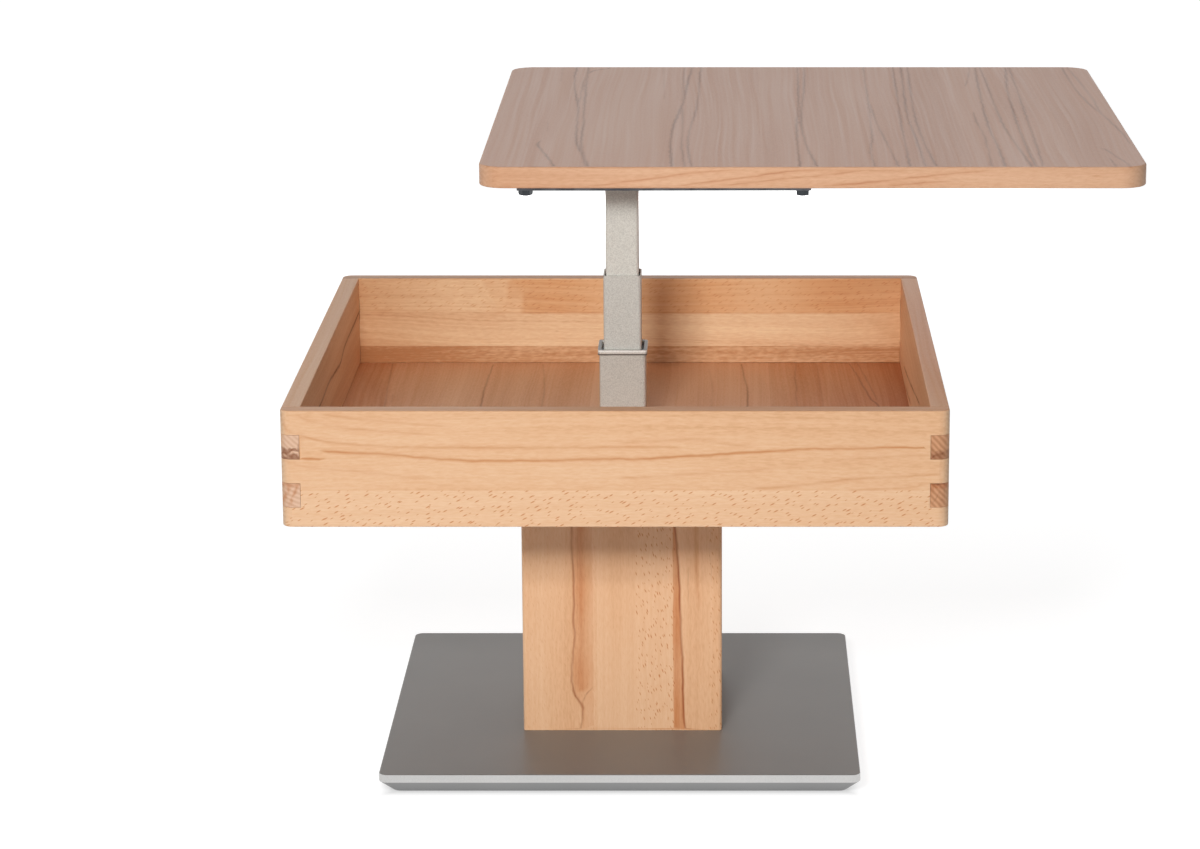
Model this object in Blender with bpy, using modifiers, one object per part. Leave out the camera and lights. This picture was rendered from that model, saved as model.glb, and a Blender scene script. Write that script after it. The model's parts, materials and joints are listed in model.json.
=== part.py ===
"""Height-adjustable coffee table with a storage box under a sliding top.

A finger-jointed box stands on a boarded pedestal and a weighted steel base.
A three-stage square telescope rises through the box and lifts a flat steel carrier.
The top runs sideways on the carrier, so that the box is open when the top is raised.

Units are metres. +Z is up, +X is right and -Y is the front.
The origin is on the floor, on the axis of the telescope.
The pieces stand as in use with the top fully raised and fully run out to the right.
"""

import math

import bmesh
import bpy
from mathutils import Vector

# Base
BASE_WIDTH = 0.527
BASE_RIM_HEIGHT = 0.009
BASE_UNDERCUT = 0.014
BASE_CORNER_RADIUS = 0.010
BASE_EDGE_RADIUS = 0.0015
BASE_SHEET = 0.002
CORE_THICKNESS = 0.0097
BALLAST_THICKNESS = 0.010
BALLAST_SIDE_GAP = 0.002
GLIDE_DIAMETER = 0.036
GLIDE_CHAMFER = 0.0005
GLIDE_INSET = 0.012
BASE_FLOOR_GAP = 0.0015

# Pedestal
COLUMN_WIDTH = 0.224
COLUMN_HEIGHT = 0.3045
COLUMN_PANEL = 0.018
COLUMN_EDGE_RADIUS = 0.004
COLUMN_FOOT_HEIGHT = 0.018
COLUMN_HEAD_THICKNESS = 0.018

# Storage box
BOX_WIDTH = 0.700
BOX_HEIGHT = 0.1255
BOX_WALL = 0.020
BOX_INNER_DEPTH = 0.1055
BOX_FLOOR_THICKNESS = 0.0175
BOX_FLOOR_TONGUE = 0.006
BOX_CORNER_RADIUS = 0.011
BOX_EDGE_RADIUS = 0.0015
FINGER_HEIGHT = 0.026
SCREW_DIAMETER = 0.0045
SCREW_HEAD_DIAMETER = 0.009
SCREW_HEAD_HEIGHT = 0.003
SCREW_BITE = 0.012
SCREW_SPACING = 0.140

# Telescope
INNER_TUBE_WIDTH = 0.0370
INNER_TUBE_WALL = 0.0020
MIDDLE_BUSH_WALL = 0.0006
MIDDLE_TUBE_WALL = 0.0015
OUTER_BUSH_WALL = 0.0018
OUTER_TUBE_WALL = 0.0025
TUBE_CORNER_RADIUS = 0.0035
TUBE_FOOT_GAP = 0.015
COLLAR_OVERHANG = 0.00165
COLLAR_CLEARANCE = 0.0030
COLLAR_HEIGHT = 0.0058
COLLAR_LIP = 0.0020
COLLAR_DROP = 0.0084
BUSH_LENGTH = 0.050
BUSH_RECESS = 0.0035
FOOT_PLATE_WIDTH = 0.150
FOOT_PLATE_THICKNESS = 0.006
FOOT_BOLT_SPACING = 0.116
MIDDLE_TRAVEL = 0.084
INNER_TRAVEL = 0.1477
GAS_CYLINDER_DIAMETER = 0.022
GAS_CYLINDER_END = 0.028
GAS_ROD_DIAMETER = 0.010
GAS_ROD_ENGAGEMENT = 0.030
GAS_ROD_END_GAP = 0.010

# Carrier and its bolts
BAR_WIDTH = 0.030
BAR_THICKNESS = 0.005
BAR_LEFT_REACH = 0.1005
BAR_RIGHT_REACH = 0.204
BAR_BOLT_END = 0.0085
SPINE_WIDTH = 0.090
BOLT_DIAMETER = 0.008
BOLT_HEAD_ACROSS_FLATS = 0.013
BOLT_HEAD_HEIGHT = 0.0065
NUT_LENGTH = 0.024
NUT_STOP_GAP = 0.001

# Table top
TOP_SETBACK = 0.005
TOP_THICKNESS = 0.0225
TOP_CORNER_RADIUS = 0.027
TOP_EDGE_RADIUS = 0.0015
TOP_BAND = 0.003
RAIL_INSET = 0.034
RAIL_END_MARGIN = 0.0345
RAIL_WIDTH = 0.019
RAIL_DEPTH = 0.0095
RAIL_WALL = 0.0016
RAIL_SLOT = 0.0092
PAD_DIAMETER = 0.012
PAD_THICKNESS = 0.002
PAD_END_INSET = 0.044

# Clearances
SEAT_GAP = 0.0003
HOLE_GAP = 0.0003
RUNNING_GAP = 0.0004
CARRIER_GAP = 0.0006

# Faceting
CORNER_SEGMENTS = 5
EDGE_SEGMENTS = 2
ROUND_SIDES = 24
CUT_OVERRUN = 0.004

# Heights that follow from the sizes above
BASE_TOP = BASE_FLOOR_GAP + BASE_UNDERCUT + BASE_RIM_HEIGHT
CORE_TOP = BASE_TOP - BASE_SHEET - SEAT_GAP
CORE_BOTTOM = CORE_TOP - CORE_THICKNESS
BALLAST_TOP = CORE_BOTTOM - SEAT_GAP
BALLAST_BOTTOM = BALLAST_TOP - BALLAST_THICKNESS
BOX_BOTTOM = BASE_TOP + COLUMN_HEIGHT
BOX_RIM = BOX_BOTTOM + BOX_HEIGHT
FLOOR_TOP = BOX_RIM - BOX_INNER_DEPTH
FLOOR_BOTTOM = FLOOR_TOP - BOX_FLOOR_THICKNESS
FOOT_TOP = BASE_TOP + SEAT_GAP + FOOT_PLATE_THICKNESS
COLLAR_TOP = BOX_RIM - COLLAR_DROP
LIFT_TRAVEL = MIDDLE_TRAVEL + INNER_TRAVEL
TOP_UNDERSIDE = BOX_RIM + PAD_THICKNESS + 2 * SEAT_GAP + LIFT_TRAVEL
CARRIER_TOP = TOP_UNDERSIDE - CARRIER_GAP
CARRIER_BOTTOM = CARRIER_TOP - BAR_THICKNESS
MIDDLE_TOP = COLLAR_TOP + MIDDLE_TRAVEL

# Widths and plan positions that follow from the sizes above
MIDDLE_TUBE_WIDTH = INNER_TUBE_WIDTH + 2 * (MIDDLE_BUSH_WALL + 2 * SEAT_GAP + MIDDLE_TUBE_WALL)
OUTER_TUBE_WIDTH = MIDDLE_TUBE_WIDTH + 2 * (OUTER_BUSH_WALL + 2 * SEAT_GAP + OUTER_TUBE_WALL)
COLLAR_WIDTH = OUTER_TUBE_WIDTH + 2 * COLLAR_OVERHANG
COLLAR_OPENING = MIDDLE_TUBE_WIDTH + 2 * COLLAR_CLEARANCE
TOP_WIDTH = BOX_WIDTH - 2 * TOP_SETBACK
BAR_LINE = TOP_WIDTH / 2 - RAIL_INSET
BOLT_LEFT = BAR_LEFT_REACH - BAR_BOLT_END
BOLT_RIGHT = BAR_RIGHT_REACH - BAR_BOLT_END
NUT_REACH = NUT_LENGTH / 2 + NUT_STOP_GAP
SLIDE_TRAVEL = TOP_WIDTH / 2 - RAIL_END_MARGIN - BOLT_LEFT - NUT_REACH
BOX_INNER_WIDTH = BOX_WIDTH - 2 * BOX_WALL
COLUMN_INNER_WIDTH = COLUMN_WIDTH - 2 * COLUMN_PANEL

SIDES = (("left", -1), ("right", 1))
ENDS = (("front", -1), ("back", 1))


def clear_scene():
    """Removes whatever the open file holds."""
    for item in list(bpy.data.objects):
        bpy.data.objects.remove(item, do_unlink=True)


def make_collection(name):
    """Adds a collection to the scene."""
    group = bpy.data.collections.new(name)
    bpy.context.scene.collection.children.link(group)
    return group


def make_finish(name, colour, roughness, metallic=0.0):
    """Makes a plain surface of one colour."""
    finish = bpy.data.materials.new(name)
    finish.use_nodes = True
    shader = finish.node_tree.nodes["Principled BSDF"]
    shader.inputs["Base Color"].default_value = (*colour, 1.0)
    shader.inputs["Roughness"].default_value = roughness
    shader.inputs["Metallic"].default_value = metallic
    return finish


def place_mesh(shape, name, centre, group):
    """Turns an edit mesh into a named object whose origin is its centre."""
    mesh = bpy.data.meshes.new(name)
    shape.to_mesh(mesh)
    shape.free()
    item = bpy.data.objects.new(name, mesh)
    item.location = centre
    group.objects.link(item)
    return item


def is_upright(edge):
    """True for an edge that runs straight up."""
    start, end = edge.verts
    return (start.co.xy - end.co.xy).length < SEAT_GAP


def round_edges(shape, edges, radius, segments):
    """Rounds some edges of an edit mesh."""
    bmesh.ops.bevel(shape, geom=edges, offset=radius, segments=segments, profile=0.5, affect="EDGES")


def block(name, low, high, group, corner_radius=0.0, edge_radius=0.0):
    """Makes a box between two corners, with rounded upright edges and rounded rims if asked."""
    low = Vector(low)
    high = Vector(high)
    shape = bmesh.new()
    bmesh.ops.create_cube(shape, size=1.0)
    bmesh.ops.scale(shape, vec=high - low, verts=shape.verts)
    if corner_radius > 0.0:
        round_edges(shape, [e for e in shape.edges if is_upright(e)], corner_radius, CORNER_SEGMENTS)
    if edge_radius > 0.0:
        flat = [f for f in shape.faces if abs(f.normal.z) > 0.9]
        round_edges(shape, list({e for f in flat for e in f.edges}), edge_radius, EDGE_SEGMENTS)
    return place_mesh(shape, name, (low + high) / 2, group)


def square_block(name, width, bottom, top, group, centre=(0.0, 0.0), corner_radius=0.0, edge_radius=0.0):
    """Makes a square block round an upright axis."""
    low = (centre[0] - width / 2, centre[1] - width / 2, bottom)
    high = (centre[0] + width / 2, centre[1] + width / 2, top)
    return block(name, low, high, group, corner_radius, edge_radius)


def drum(name, diameter, bottom, top, group, centre=(0.0, 0.0), sides=ROUND_SIDES, chamfer=0.0):
    """Makes an upright cylinder or prism, with a chamfer round its lower end if asked."""
    shape = bmesh.new()
    radius = diameter / 2
    bmesh.ops.create_cone(shape, cap_ends=True, segments=sides, radius1=radius, radius2=radius,
                          depth=top - bottom)
    if chamfer > 0.0:
        lower = [f for f in shape.faces if f.normal.z < -0.9]
        round_edges(shape, list({e for f in lower for e in f.edges}), chamfer, 1)
    item = place_mesh(shape, name, (centre[0], centre[1], (bottom + top) / 2), group)
    item.data.shade_smooth()
    item.data.set_sharp_from_angle(angle=math.radians(35))
    return item


def world_place(item):
    """Gives an object's place in the world, where no parent is turned or scaled."""
    place = item.location.copy()
    parent = item.parent
    while parent is not None:
        place += parent.location
        parent = parent.parent
    return place


def attach(child, parent):
    """Parents an object and leaves it where it stands."""
    place = world_place(child)
    child.parent = parent
    child.location = place - world_place(parent)


def shape_by(target, tool, operation="DIFFERENCE"):
    """Cuts, joins or trims an object with a hidden tool that moves with it."""
    attach(tool, target)
    tool.hide_render = True
    tool.display_type = "WIRE"
    step = target.modifiers.new(tool.name, "BOOLEAN")
    step.object = tool
    step.operation = operation
    step.solver = "EXACT"


class Workshop:
    """Holds the collections, the finishes and the empties that carry each moving group."""

    def __init__(self):
        self.parts = make_collection("coffee_table")
        self.tools = make_collection("coffee_table_cutters")
        self.beech = make_finish("oiled core beech", (0.62, 0.33, 0.17), 0.45)
        self.board = make_finish("raw inner board", (0.55, 0.42, 0.27), 0.8)
        self.steel_cover = make_finish("satin grey steel cover", (0.22, 0.22, 0.23), 0.35, 0.9)
        self.coated = make_finish("silver-grey coated steel", (0.53, 0.5, 0.46), 0.45, 0.6)
        self.zinc = make_finish("zinc-plated steel", (0.55, 0.57, 0.6), 0.35, 1.0)
        self.raw_steel = make_finish("raw steel plate", (0.3, 0.3, 0.31), 0.5, 1.0)
        self.nylon = make_finish("black nylon", (0.02, 0.02, 0.02), 0.5)
        self.gas_black = make_finish("black enamelled cylinder", (0.03, 0.03, 0.03), 0.3)
        self.chrome = make_finish("hard-chromed rod", (0.75, 0.75, 0.76), 0.12, 1.0)
        self.alloy = make_finish("plain aluminium rail", (0.7, 0.71, 0.72), 0.35, 1.0)
        self.felt = make_finish("grey felt", (0.16, 0.15, 0.14), 0.95)
        self.stand = self.add_axis("stand", (0.0, 0.0, 0.0))
        self.middle = self.add_axis("lift_middle", (0.0, 0.0, MIDDLE_TOP))
        self.inner = self.add_axis("lift_inner", (0.0, 0.0, CARRIER_BOTTOM))
        self.top = self.add_axis("table_top", (SLIDE_TRAVEL, 0.0, TOP_UNDERSIDE))

    def add_axis(self, name, place):
        """Adds an empty that a rigid group of pieces hangs on."""
        axis = bpy.data.objects.new(name + "_axis", None)
        axis.location = place
        axis.empty_display_size = BAR_WIDTH
        self.parts.objects.link(axis)
        return axis

    def keep(self, item, finish, axis):
        """Gives a finished piece its surface and hangs it on its group."""
        item.data.materials.append(finish)
        attach(item, axis)
        return item


def corner_places(spacing):
    """Gives the four corners of a square about the axis."""
    half = spacing / 2
    return [(x * half, y * half) for y in (-1, 1) for x in (-1, 1)]


def drill(shop, target, centre, diameter, bottom, top):
    """Drills an upright hole with a little room for what goes through it."""
    tool = drum(target.name + "_hole", diameter + 2 * HOLE_GAP, bottom - CUT_OVERRUN, top + CUT_OVERRUN,
                shop.tools, centre)
    shape_by(target, tool)


def square_tube(shop, name, width, wall, bottom, top):
    """Makes a length of square tube with rounded corners."""
    tube = square_block(name, width, bottom, top, shop.parts, corner_radius=TUBE_CORNER_RADIUS)
    bore_radius = max(TUBE_CORNER_RADIUS - wall, SEAT_GAP)
    bore = square_block(name + "_bore", width - 2 * wall, bottom - CUT_OVERRUN, top + CUT_OVERRUN,
                        shop.tools, corner_radius=bore_radius)
    shape_by(tube, bore)
    return tube


def base_cover(shop):
    """Makes the folded steel cover: a flat top, an upright rim and a lip folded in at 45 degrees."""
    shape = bmesh.new()
    bmesh.ops.create_cube(shape, size=1.0)
    bmesh.ops.scale(shape, vec=(BASE_WIDTH, BASE_WIDTH, BASE_RIM_HEIGHT), verts=shape.verts)
    round_edges(shape, [e for e in shape.edges if is_upright(e)], BASE_CORNER_RADIUS, CORNER_SEGMENTS)
    upper = next(f for f in shape.faces if f.normal.z > 0.9)
    round_edges(shape, list(upper.edges), BASE_EDGE_RADIUS, EDGE_SEGMENTS)
    lower = next(f for f in shape.faces if f.normal.z < -0.9)
    fold_line = list(lower.edges)
    bmesh.ops.delete(shape, geom=[lower], context="FACES_ONLY")
    lip = bmesh.ops.extrude_edge_only(shape, edges=fold_line)["geom"]
    lip_verts = [v for v in lip if isinstance(v, bmesh.types.BMVert)]
    taper = (BASE_WIDTH - 2 * BASE_UNDERCUT) / BASE_WIDTH
    bmesh.ops.scale(shape, vec=(taper, taper, 1.0), verts=lip_verts)
    bmesh.ops.translate(shape, vec=(0.0, 0.0, -BASE_UNDERCUT), verts=lip_verts)
    bmesh.ops.recalc_face_normals(shape, faces=shape.faces)
    cover = place_mesh(shape, "base_cover", (0.0, 0.0, BASE_TOP - BASE_RIM_HEIGHT / 2), shop.parts)
    sheet = cover.modifiers.new("sheet", "SOLIDIFY")
    sheet.thickness = BASE_SHEET
    sheet.offset = -1.0
    sheet.use_even_offset = True
    for centre in corner_places(FOOT_BOLT_SPACING):
        drill(shop, cover, centre, BOLT_DIAMETER, CORE_TOP, BASE_TOP)
    shop.keep(cover, shop.steel_cover, shop.stand)


def base_filling(shop):
    """Makes the core board and the heavy plate that fill the cover, and the glides under them.

    Both are small enough to go in past the folded lip.
    """
    opening = BASE_WIDTH - 2 * (BASE_UNDERCUT + math.sqrt(2) * BASE_SHEET)
    width = opening - 2 * BALLAST_SIDE_GAP
    layers = (("base_core_board", CORE_BOTTOM, CORE_TOP, shop.board),
              ("base_ballast", BALLAST_BOTTOM, BALLAST_TOP, shop.raw_steel))
    for name, bottom, top, finish in layers:
        layer = square_block(name, width, bottom, top, shop.parts)
        for centre in corner_places(FOOT_BOLT_SPACING):
            drill(shop, layer, centre, BOLT_DIAMETER, bottom, top)
        shop.keep(layer, finish, shop.stand)
    spread = width - 2 * GLIDE_INSET - GLIDE_DIAMETER
    places = {"front_left": (-1, -1), "front_right": (1, -1), "back_left": (-1, 1), "back_right": (1, 1),
              "centre": (0, 0)}
    for label, (x, y) in places.items():
        glide = drum("base_glide_" + label, GLIDE_DIAMETER, 0.0, BALLAST_BOTTOM - SEAT_GAP, shop.parts,
                     (x * spread / 2, y * spread / 2), chamfer=GLIDE_CHAMFER)
        shop.keep(glide, shop.nylon, shop.stand)


def column_panel(shop, name, half_length, facing, along_x):
    """Makes one board of the pedestal, with the upright edges of its outer face rounded if it laps."""
    outer = COLUMN_WIDTH / 2
    near, far = sorted((facing * outer, facing * (outer - COLUMN_PANEL)))
    bottom = BASE_TOP + SEAT_GAP
    top = FLOOR_BOTTOM - SEAT_GAP
    if along_x:
        low, high = (-half_length, near, bottom), (half_length, far, top)
    else:
        low, high = (near, -half_length, bottom), (far, half_length, top)
    panel = block(name, low, high, shop.parts)
    if along_x:
        shape = bmesh.new()
        shape.from_mesh(panel.data)
        outer_edges = [e for e in shape.edges if is_upright(e) and e.verts[0].co.y * facing > 0]
        round_edges(shape, outer_edges, COLUMN_EDGE_RADIUS, CORNER_SEGMENTS)
        shape.to_mesh(panel.data)
        shape.free()
    shop.keep(panel, shop.beech, shop.stand)


def column(shop):
    """Makes the square pedestal: four boards, a foot frame inside and a head board."""
    for label, facing in ENDS:
        column_panel(shop, "column_" + label, COLUMN_WIDTH / 2, facing, True)
    for label, facing in SIDES:
        column_panel(shop, "column_" + label, COLUMN_INNER_WIDTH / 2 - SEAT_GAP, facing, False)
    width = COLUMN_INNER_WIDTH - 2 * SEAT_GAP
    foot_bottom = BASE_TOP + SEAT_GAP
    foot_top = foot_bottom + COLUMN_FOOT_HEIGHT
    foot = square_block("column_foot_frame", width, foot_bottom, foot_top, shop.parts)
    opening = square_block("column_foot_frame_opening", FOOT_PLATE_WIDTH + 2 * HOLE_GAP,
                           foot_bottom - CUT_OVERRUN, foot_top + CUT_OVERRUN, shop.tools)
    shape_by(foot, opening)
    shop.keep(foot, shop.board, shop.stand)
    head_top = FLOOR_BOTTOM - SEAT_GAP
    head_bottom = head_top - COLUMN_HEAD_THICKNESS
    head = square_block("column_head_board", width, head_bottom, head_top, shop.parts)
    tube_hole(shop, head, head_bottom, head_top)
    for centre in corner_places(SCREW_SPACING):
        drill(shop, head, centre, SCREW_DIAMETER, head_bottom, head_top)
    shop.keep(head, shop.board, shop.stand)


def tube_hole(shop, target, bottom, top):
    """Cuts the square hole that the fixed tube of the telescope stands in."""
    tool = square_block(target.name + "_tube_hole", OUTER_TUBE_WIDTH + 2 * HOLE_GAP, bottom - CUT_OVERRUN,
                        top + CUT_OVERRUN, shop.tools, corner_radius=TUBE_CORNER_RADIUS)
    shape_by(target, tool)


def finger_levels():
    """Gives the top and bottom of each finger of the corner joints, from the rim down."""
    count = max(2, math.ceil(BOX_HEIGHT / FINGER_HEIGHT - SEAT_GAP))
    levels = [max(BOX_BOTTOM, BOX_RIM - i * FINGER_HEIGHT) for i in range(count + 1)]
    return list(zip(levels[:-1], levels[1:]))


def box_wall(shop, label, facing, along_x):
    """Makes one wall of the box, with the fingers of its two corner joints and a groove for the floor."""
    outer = BOX_WIDTH / 2
    near, far = sorted((facing * outer, facing * (outer - BOX_WALL)))
    if along_x:
        low, high = (-outer, near, BOX_BOTTOM), (outer, far, BOX_RIM)
    else:
        low, high = (near, -outer, BOX_BOTTOM), (far, outer, BOX_RIM)
    wall = block("box_" + label, low, high, shop.parts)
    for number, (upper, lower) in enumerate(finger_levels()):
        if (number % 2 == 0) == along_x:
            continue
        for end in (-1, 1):
            finger_notch(shop, wall, facing, end, lower, upper, along_x)
    outline = square_block(wall.name + "_outline", BOX_WIDTH, BOX_BOTTOM, BOX_RIM, shop.tools,
                           corner_radius=BOX_CORNER_RADIUS, edge_radius=BOX_EDGE_RADIUS)
    shape_by(wall, outline, "INTERSECT")
    groove = square_block(wall.name + "_groove", BOX_INNER_WIDTH + 2 * (BOX_FLOOR_TONGUE + SEAT_GAP),
                          FLOOR_BOTTOM - SEAT_GAP, FLOOR_TOP + SEAT_GAP, shop.tools)
    shape_by(wall, groove)
    shop.keep(wall, shop.beech, shop.stand)


def finger_notch(shop, wall, facing, end, lower, upper, along_x):
    """Cuts the room for one finger of the neighbouring wall."""
    outer = BOX_WIDTH / 2
    inside = outer - BOX_WALL - SEAT_GAP
    across = sorted((facing * (outer + CUT_OVERRUN), facing * (inside - CUT_OVERRUN)))
    along = sorted((end * (outer + CUT_OVERRUN), end * inside))
    bottom = lower - SEAT_GAP / 2 if lower > BOX_BOTTOM else lower - CUT_OVERRUN
    top = upper + SEAT_GAP / 2 if upper < BOX_RIM else upper + CUT_OVERRUN
    x_span, y_span = (along, across) if along_x else (across, along)
    low = (x_span[0], y_span[0], bottom)
    high = (x_span[1], y_span[1], top)
    shape_by(wall, block(wall.name + "_notch", low, high, shop.tools))


def box_floor(shop):
    """Makes the floor of the box, held in the grooves of the walls and screwed to the pedestal."""
    width = BOX_INNER_WIDTH + 2 * BOX_FLOOR_TONGUE
    floor = square_block("box_floor", width, FLOOR_BOTTOM, FLOOR_TOP, shop.parts)
    tube_hole(shop, floor, FLOOR_BOTTOM, FLOOR_TOP)
    head_bottom = FLOOR_BOTTOM - SEAT_GAP - COLUMN_HEAD_THICKNESS
    for number, centre in enumerate(corner_places(SCREW_SPACING), 1):
        tip = FLOOR_BOTTOM + SCREW_BITE
        pilot = drum("box_floor_pilot", SCREW_DIAMETER + 2 * HOLE_GAP, FLOOR_BOTTOM - CUT_OVERRUN,
                     tip + HOLE_GAP, shop.tools, centre)
        shape_by(floor, pilot)
        head_top = head_bottom - SEAT_GAP
        screw = drum("box_screw_%d" % number, SCREW_HEAD_DIAMETER, head_top - SCREW_HEAD_HEIGHT, head_top,
                     shop.parts, centre)
        shank = drum("box_screw_shank", SCREW_DIAMETER, head_top - SCREW_HEAD_HEIGHT / 2, tip, shop.tools,
                     centre)
        shape_by(screw, shank, "UNION")
        shop.keep(screw, shop.zinc, shop.stand)
    shop.keep(floor, shop.beech, shop.stand)


def hex_bolt(shop, name, centre, seat, tip, upward, axis):
    """Makes a hexagon-headed bolt from the seat of its head to its tip."""
    across_corners = BOLT_HEAD_ACROSS_FLATS / math.cos(math.radians(30))
    end = seat - upward * BOLT_HEAD_HEIGHT
    low, high = sorted((seat, end))
    bolt = drum(name, across_corners, low, high, shop.parts, centre, sides=6)
    low, high = sorted(((seat + end) / 2, tip))
    shank = drum(name + "_shank", BOLT_DIAMETER, low, high, shop.tools, centre)
    shape_by(bolt, shank, "UNION")
    shop.keep(bolt, shop.zinc, axis)


def telescope_root(shop):
    """Makes the fixed part of the telescope: foot plate, outer tube, collar and upper bush."""
    plate_bottom = BASE_TOP + SEAT_GAP
    plate = square_block("lift_foot_plate", FOOT_PLATE_WIDTH, plate_bottom, FOOT_TOP, shop.parts)
    for number, centre in enumerate(corner_places(FOOT_BOLT_SPACING), 1):
        drill(shop, plate, centre, BOLT_DIAMETER, plate_bottom, FOOT_TOP)
        hex_bolt(shop, "lift_foot_bolt_%d" % number, centre, FOOT_TOP + SEAT_GAP, BALLAST_BOTTOM, -1,
                 shop.stand)
    shop.keep(plate, shop.raw_steel, shop.stand)

    tube_top = COLLAR_TOP - COLLAR_LIP - SEAT_GAP
    tube = square_tube(shop, "lift_outer_tube", OUTER_TUBE_WIDTH, OUTER_TUBE_WALL, FOOT_TOP + SEAT_GAP,
                       tube_top)
    shop.keep(tube, shop.coated, shop.stand)

    collar = square_block("lift_collar", COLLAR_WIDTH, COLLAR_TOP - COLLAR_HEIGHT, COLLAR_TOP, shop.parts,
                          corner_radius=TUBE_CORNER_RADIUS)
    opening = square_block("lift_collar_opening", COLLAR_OPENING, COLLAR_TOP - COLLAR_HEIGHT - CUT_OVERRUN,
                           COLLAR_TOP + CUT_OVERRUN, shop.tools, corner_radius=TUBE_CORNER_RADIUS)
    shape_by(collar, opening)
    seat = square_block("lift_collar_seat", OUTER_TUBE_WIDTH + 2 * SEAT_GAP,
                        COLLAR_TOP - COLLAR_HEIGHT - CUT_OVERRUN, COLLAR_TOP - COLLAR_LIP, shop.tools,
                        corner_radius=TUBE_CORNER_RADIUS)
    shape_by(collar, seat)
    shop.keep(collar, shop.coated, shop.stand)

    sliding_bush(shop, "lift_outer_bush", MIDDLE_TUBE_WIDTH, OUTER_BUSH_WALL, COLLAR_TOP - BUSH_RECESS,
                 shop.stand)


def sliding_bush(shop, name, tube_width, wall, top, axis):
    """Makes a plastic liner round a tube of the telescope."""
    bush = square_tube(shop, name, tube_width + 2 * (SEAT_GAP + wall), wall, top - BUSH_LENGTH, top)
    shop.keep(bush, shop.nylon, axis)


def telescope_stages(shop):
    """Makes the two tubes that rise, long enough to stand just clear of the foot plate when lowered."""
    lowest = FOOT_TOP + TUBE_FOOT_GAP
    middle = square_tube(shop, "lift_middle_tube", MIDDLE_TUBE_WIDTH, MIDDLE_TUBE_WALL,
                         lowest + MIDDLE_TRAVEL, MIDDLE_TOP)
    shop.keep(middle, shop.coated, shop.middle)
    sliding_bush(shop, "lift_middle_bush", INNER_TUBE_WIDTH, MIDDLE_BUSH_WALL, MIDDLE_TOP - BUSH_RECESS,
                 shop.middle)
    inner = square_tube(shop, "lift_inner_tube", INNER_TUBE_WIDTH, INNER_TUBE_WALL, lowest + LIFT_TRAVEL,
                        CARRIER_BOTTOM - SEAT_GAP)
    shop.keep(inner, shop.coated, shop.inner)


def gas_spring(shop):
    """Makes the gas spring inside the telescope, which balances the weight of the top."""
    bore_depth = GAS_ROD_ENGAGEMENT + LIFT_TRAVEL + GAS_ROD_END_GAP
    bottom = FOOT_TOP + SEAT_GAP
    top = bottom + GAS_CYLINDER_END + bore_depth
    cylinder = drum("gas_spring_cylinder", GAS_CYLINDER_DIAMETER, bottom, top, shop.parts)
    bore = drum("gas_spring_bore", GAS_ROD_DIAMETER + 2 * RUNNING_GAP, top - bore_depth, top + CUT_OVERRUN,
                shop.tools)
    shape_by(cylinder, bore)
    shop.keep(cylinder, shop.gas_black, shop.stand)
    rod = drum("gas_spring_rod", GAS_ROD_DIAMETER, top - GAS_ROD_ENGAGEMENT, CARRIER_BOTTOM - SEAT_GAP,
               shop.parts)
    shop.keep(rod, shop.chrome, shop.inner)


def carrier(shop):
    """Makes the flat steel carrier: a spine on the inner tube and two cross bars with their bolts."""
    spine_half = BAR_LINE - BAR_WIDTH / 2 - SEAT_GAP
    spine = block("carrier_spine", (-SPINE_WIDTH / 2, -spine_half, CARRIER_BOTTOM),
                  (SPINE_WIDTH / 2, spine_half, CARRIER_TOP), shop.parts)
    shop.keep(spine, shop.coated, shop.inner)
    for label, facing in ENDS:
        line = facing * BAR_LINE
        bar = block("carrier_%s_bar" % label, (-BAR_LEFT_REACH, line - BAR_WIDTH / 2, CARRIER_BOTTOM),
                    (BAR_RIGHT_REACH, line + BAR_WIDTH / 2, CARRIER_TOP), shop.parts)
        for side, place in (("left", -BOLT_LEFT), ("right", BOLT_RIGHT)):
            drill(shop, bar, (place, line), BOLT_DIAMETER, CARRIER_BOTTOM, CARRIER_TOP)
            carrier_bolt(shop, "%s_%s" % (label, side), (place, line))
        shop.keep(bar, shop.coated, shop.inner)


def carrier_bolt(shop, label, centre):
    """Makes one bolt under a cross bar and the sliding nut that it holds in the rail."""
    nut_bottom = TOP_UNDERSIDE + RAIL_WALL + RUNNING_GAP
    nut_top = TOP_UNDERSIDE + RAIL_DEPTH - RAIL_WALL - RUNNING_GAP
    half_width = RAIL_WIDTH / 2 - RAIL_WALL - RUNNING_GAP
    nut = block("slide_nut_" + label, (centre[0] - NUT_LENGTH / 2, centre[1] - half_width, nut_bottom),
                (centre[0] + NUT_LENGTH / 2, centre[1] + half_width, nut_top), shop.parts)
    drill(shop, nut, centre, BOLT_DIAMETER, nut_bottom, nut_top)
    shop.keep(nut, shop.zinc, shop.inner)
    hex_bolt(shop, "carrier_bolt_" + label, centre, CARRIER_BOTTOM - SEAT_GAP, nut_top, 1, shop.inner)


def rail_span():
    """Gives the ends of the rails, which stop the sliding nuts at both ends of the travel."""
    left = SLIDE_TRAVEL - TOP_WIDTH / 2 + RAIL_END_MARGIN
    right = SLIDE_TRAVEL + BOLT_RIGHT + NUT_REACH
    return left, right


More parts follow.
